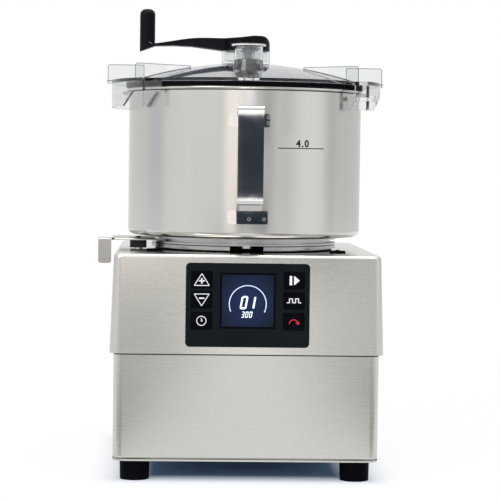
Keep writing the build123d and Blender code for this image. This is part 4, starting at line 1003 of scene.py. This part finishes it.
# %% Marks on slanted faces
def front_mark(name, owner, body, place, size, turn, ink):
    """A thin mark on the front of a piece, where a ray from the front meets it."""
    node = nodes[owner]
    there = node.matrix_world.inverted() @ Vector((place[0] * mm, -1, place[1] * mm))
    hit, where, facing, _ = node.ray_cast(there, (0, 1, 0))
    piece = bar(name, size[0], size[1], ink, corner=0.1)
    piece.data.transform(Matrix.Rotation(turn, 4, "Z"))
    piece.data.transform(Matrix.Rotation(radians(90), 4, "X"))
    leaning = Vector((0, -1, 0)).rotation_difference(facing)
    piece.data.transform(leaning.to_matrix().to_4x4())
    piece.data.transform(Matrix.Translation(node.matrix_world @ where))
    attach(piece, body)
    print(name, "hit" if hit else "missed", [round(part / mm, 1) for part in where])


# Painted shade for the latch's notch, and a painted highlight of white ink on the grip.
notch_shade_place, notch_shade_size = (-132.6, 235.3), (2.9, 1.9)
highlight_place, highlight_size, highlight_turn = (-96.0, 438.6), (5.6, 0.35), radians(-24)
front_mark(
    "latch_notch_shade", "latch_lever", "latch", notch_shade_place, notch_shade_size, 0, finishes["module"]
)
front_mark(
    "grip_mould_highlight", "stirring_lever", "stirrer", highlight_place, highlight_size, highlight_turn, white_ink
)

# %% [markdown]
# ## Hem and lap of the casing, with painted shade
#
# The lower casing is folded inwards at its foot. The fold is marked by a fine dark ring of painted
# shade, with a bright lip of plain steel under it, all the way round. A second dark ring of
# painted shade runs just under the edge where the cover laps over the lower casing. All three are
# closed rings with the casing's own rounded outline.

# %% Hem rings
tray_low, tray_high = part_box("lower_casing")
tray_middle, tray_size = (tray_low + tray_high) / 2, tray_high - tray_low
cover_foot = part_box("upper_casing")[0].z


def hem(name, below, above, proud, finish_name, corner=9.0):
    """A thin ring round the lower casing, between two heights above its foot."""
    piece = start_shape(name, 4)
    bpy.ops.transform.rotate(value=radians(45), center_override=(0, 0, 0))
    fit(piece, tray_size.x / mm + 2 * proud, tray_size.y / mm + 2 * proud)
    bpy.ops.mesh.bevel(affect="VERTICES", offset=(corner + proud) * mm, segments=10)
    keep_stroke(0.4 + proud)
    thicken(piece, finishes[finish_name], (above - below) * mm)
    place = (tray_middle.x, tray_middle.y, tray_low.z + below * mm)
    piece.data.transform(Matrix.Translation(place))
    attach(piece, "base")
    return piece


# Painted shade: dark rings under the fold and under the cover's lapping edge; the lip is plain
# steel.
hem("hem_shadow", -0.1, 0.5, 0.08, "module")
hem("hem_lip", -1.9, -0.1, 0.1, "brushed_steel")
lap_shade = hem("cover_lap_shade", -1.7, -0.05, 0.1, "module")
lap_shade.data.transform(Matrix.Translation((0, 0, cover_foot - tray_low.z)))
print("hem round", round(tray_size.x / mm, 1), "mm of casing")

# %% [markdown]
# ## Floor paint
#
# The floor has to be white to the camera and still carry the machine's shadow. So its paint is
# mixed with a glow, most of it far away and none under the machine, where the light can't reach.
# Under the machine the colour is painted blue, and the glow is kept out of a patch the shape of
# the casing, so the dark patch under it is partly a rendered shadow and partly a painted one.
# How far a point lies outside the casing is the larger of its distances beyond the two sides.
# A colour ramp has few steps, so a short distance is multiplied before it goes in.

# %% Floor paint
half_width, half_depth = tray_size.x / 2, tray_size.y / 2
inside, beyond, finer = 0.04, 0.024, 5.0
ground = Finish("floor_paint", (0.9, 0.92, 0.96), 0.8, Specular_IOR_Level=0.0)
rays = [
    ground.node("ShaderNodeLightPath", {}, {}, kind)
    for kind in ("Is Camera Ray", "Is Glossy Ray", "Is Transmission Ray")
]
beyond_side = (ground.part("X") - tray_middle.x).size() - half_width
beyond_front = (ground.part("Y") - tray_middle.y).size() - half_depth
outside = beyond_side.maths("MAXIMUM", beyond_side, beyond_front)
painted_shadow_fade = ground.ramp((outside + inside) * finer, 0.0, (inside + beyond) * finer)
far = ground.ramp(outside, 0.1, 0.9)
share = (painted_shadow_fade * 0.9 + far * 0.1) * (rays[0] + rays[1] + rays[2])
# Painted shadow: a blue colour under the machine, fading to the floor's white just beyond the
# casing.
ground.set("Base Color", ground.blend(painted_shadow_fade, (0.33, 0.5, 0.78, 1), (0.9, 0.915, 0.94, 1)))
glow_white = ground.node("ShaderNodeEmission", {}, {"Strength": 1.0}, "Emission")
painted = Socket(ground, ground.shader.outputs[0])
mixed = ground.node("ShaderNodeMixShader", {}, {0: share, 1: painted, 2: glow_white}, "Shader")
ground.tree.links.new(mixed.output, ground.tree.nodes["Material Output"].inputs["Surface"])
floor.data.materials.append(ground.material)
print("glow starts", round(inside / mm), "mm inside the casing's edge")


# %% [markdown]
# ## What the steel sees
#
# A round bowl mirrors the whole room as upright stripes, one for each direction. A photographer
# sets white and grey boards for that, and so does this scene. The boards belong to the stage, and
# only mirror rays see them.

# %% Boards
def stage_only(board, cloth):
    """Make a board part of the stage that only mirror rays see."""
    board.data.materials.append(cloth.material)
    board.visible_camera = False
    board.visible_diffuse = False
    board.visible_transmission = False
    board.visible_shadow = False


def shining(name, colour):
    """A cloth or paper that gives off an even light of one colour."""
    cloth = Finish(name, (0, 0, 0), 1.0)
    cloth.set("Emission Color", (*colour, 1))
    cloth.set("Emission Strength", 1.0)
    return cloth


print("boards are only seen by mirror rays")

# %% [markdown]
# The first board is one round wall of cloth, 2.6 metres from the middle. Its tones are listed by
# direction, in degrees from the front to the right. Tones are kept between 0 and 1 in the list,
# so each is divided by the strength with which the whole wall shines.

# %% Tones of the wall
wall_strength = 1.4


def tone(level, tint=(1.0, 1.0, 1.0)):
    """A tone of the wall, from the brightness it is to have."""
    return (*(level * part / wall_strength for part in tint), 1)


cool, warm = (0.97, 1.0, 1.06), (1.0, 0.93, 0.88)
wall_tones = {
    -180: tone(0.95),
    -150: tone(0.8),
    -110: tone(0.8),
    -105: tone(0.71, cool),
    -90: tone(0.7, cool),
    -83: tone(0.9),
    -55: tone(0.93),
    -51: tone(0.87),
    -28: tone(0.86),
    -25: tone(0.78),
    -22: tone(0.78),
    -19: tone(1.4, warm),
    -5: tone(1.4, warm),
    -3: tone(0.7),
    16: tone(0.7),
    19: tone(0.6),
    25: tone(0.6),
    29: tone(0.85),
    35: tone(0.73),
    40: tone(0.73),
    46: tone(0.86),
    54: tone(1.0),
    75: tone(1.0),
    88: tone(0.62),
    93: tone(0.62),
    98: tone(0.73),
    150: tone(0.73),
    180: tone(0.95),
}
print("wall tones:", len(wall_tones))

# %% [markdown]
# The direction of a point of the wall is the angle of its own coordinates, which goes from minus
# to plus half a turn. Scaled to between 0 and 1, it picks the tone from a colour ramp.

# %% Round wall
wall_radius, wall_depth, wall_middle = 2.6, 1.27, 0.765
bpy.ops.object.select_all(action="DESELECT")
bpy.ops.mesh.primitive_cylinder_add(
    vertices=96,
    radius=wall_radius,
    depth=wall_depth,
    end_fill_type="NOTHING",
    location=(0, 0, wall_middle),
)
wall = bpy.context.object
wall.name = "round_wall"
bpy.ops.object.transform_apply(location=True, rotation=True, scale=True)
wall_cloth = Finish("wall_cloth", (0, 0, 0), 1.0)
across, along = wall_cloth.part("X"), wall_cloth.part("Y")
direction = across.maths("ARCTAN2", across, 0 - along)
stops = [((angle + 180) / 360, colour) for angle, colour in wall_tones.items()]
turn_share = direction * (0.5 / pi) + 0.5
wall_paint = wall_cloth.node("ShaderNodeValToRGB", {"stops": stops}, {"Fac": turn_share})
wall_cloth.set("Emission Color", wall_paint)
wall_cloth.set("Emission Strength", wall_strength)
stage_only(wall, wall_cloth)
print("round wall with", len(stops), "tones")


# %% [markdown]
# Two single cards make bright or even surfaces: one shows in the bend of the handle, one in the
# left of the casing. Three small dark flags draw dark shapes on the handle's strip, on its lower
# tabs and on the lid's right ear. All of them face the bowl.

# %% Cards and flags
def flag(name, place, width, height, level, tint=(1, 1, 1)):
    """A board that faces the bowl."""
    bpy.ops.mesh.primitive_plane_add(size=1, location=place)
    board = bpy.context.object
    board.name = name
    board.scale = (width, height, 1)
    to_bowl = Vector((axis_x, axis_y, place[2])) - Vector(place)
    board.rotation_euler = to_bowl.to_track_quat("-Z", "Y").to_euler()
    bpy.ops.object.transform_apply(location=True, rotation=True, scale=True)
    stage_only(board, shining(name + "_cloth", [level * part for part in tint]))


close, deep_blue, pale_blue = -0.55, (0.7, 1, 1.5), (0.85, 1.0, 1.25)
flag("bend_card", (axis_x + 0.09, -2.42, 0.33), 0.36, 0.6, 1.7)
flag("casing_card", (axis_x - 0.205, close, 0.1325), 0.31, 0.165, 0.63)
flag("strip_flag", (axis_x + 0.018, close, 0.3225), 0.044, 0.097, 0.035, deep_blue)
flag("tab_flag", (axis_x + 0.0465, close, 0.243), 0.253, 0.034, 0.03, deep_blue)
flag("ear_flag", (axis_x + 0.155, close, 0.364), 0.055, 0.026, 0.05, pale_blue)
print("the close ones stand", -close, "m in front")


# %% [markdown]
# Two grey cards lie on the floor, to the left and right in front of the machine. They darken the
# lower edges of what the steel mirrors, and leave a white gap between them.

# %% Floor cards
def floor_card(name, left, right):
    """A grey card that lies on the floor in front of the machine."""
    card_level, card_length, card_middle, above_floor = 0.3, 1.4, -0.95, 0.002
    place = ((left + right) / 2, card_middle, above_floor)
    bpy.ops.mesh.primitive_plane_add(size=1, location=place)
    card = bpy.context.object
    card.name = name
    card.scale = (right - left, card_length, 1)
    bpy.ops.object.transform_apply(location=True, rotation=True, scale=True)
    stage_only(card, shining(name + "_paper", [card_level] * 3))


floor_card("left_card", -0.8, -0.155)
floor_card("right_card", 0.2, 0.85)
print("two cards on the floor")

# %% [markdown]
# ## The two boxes
# Nothing that was added reaches further out than the solids do.
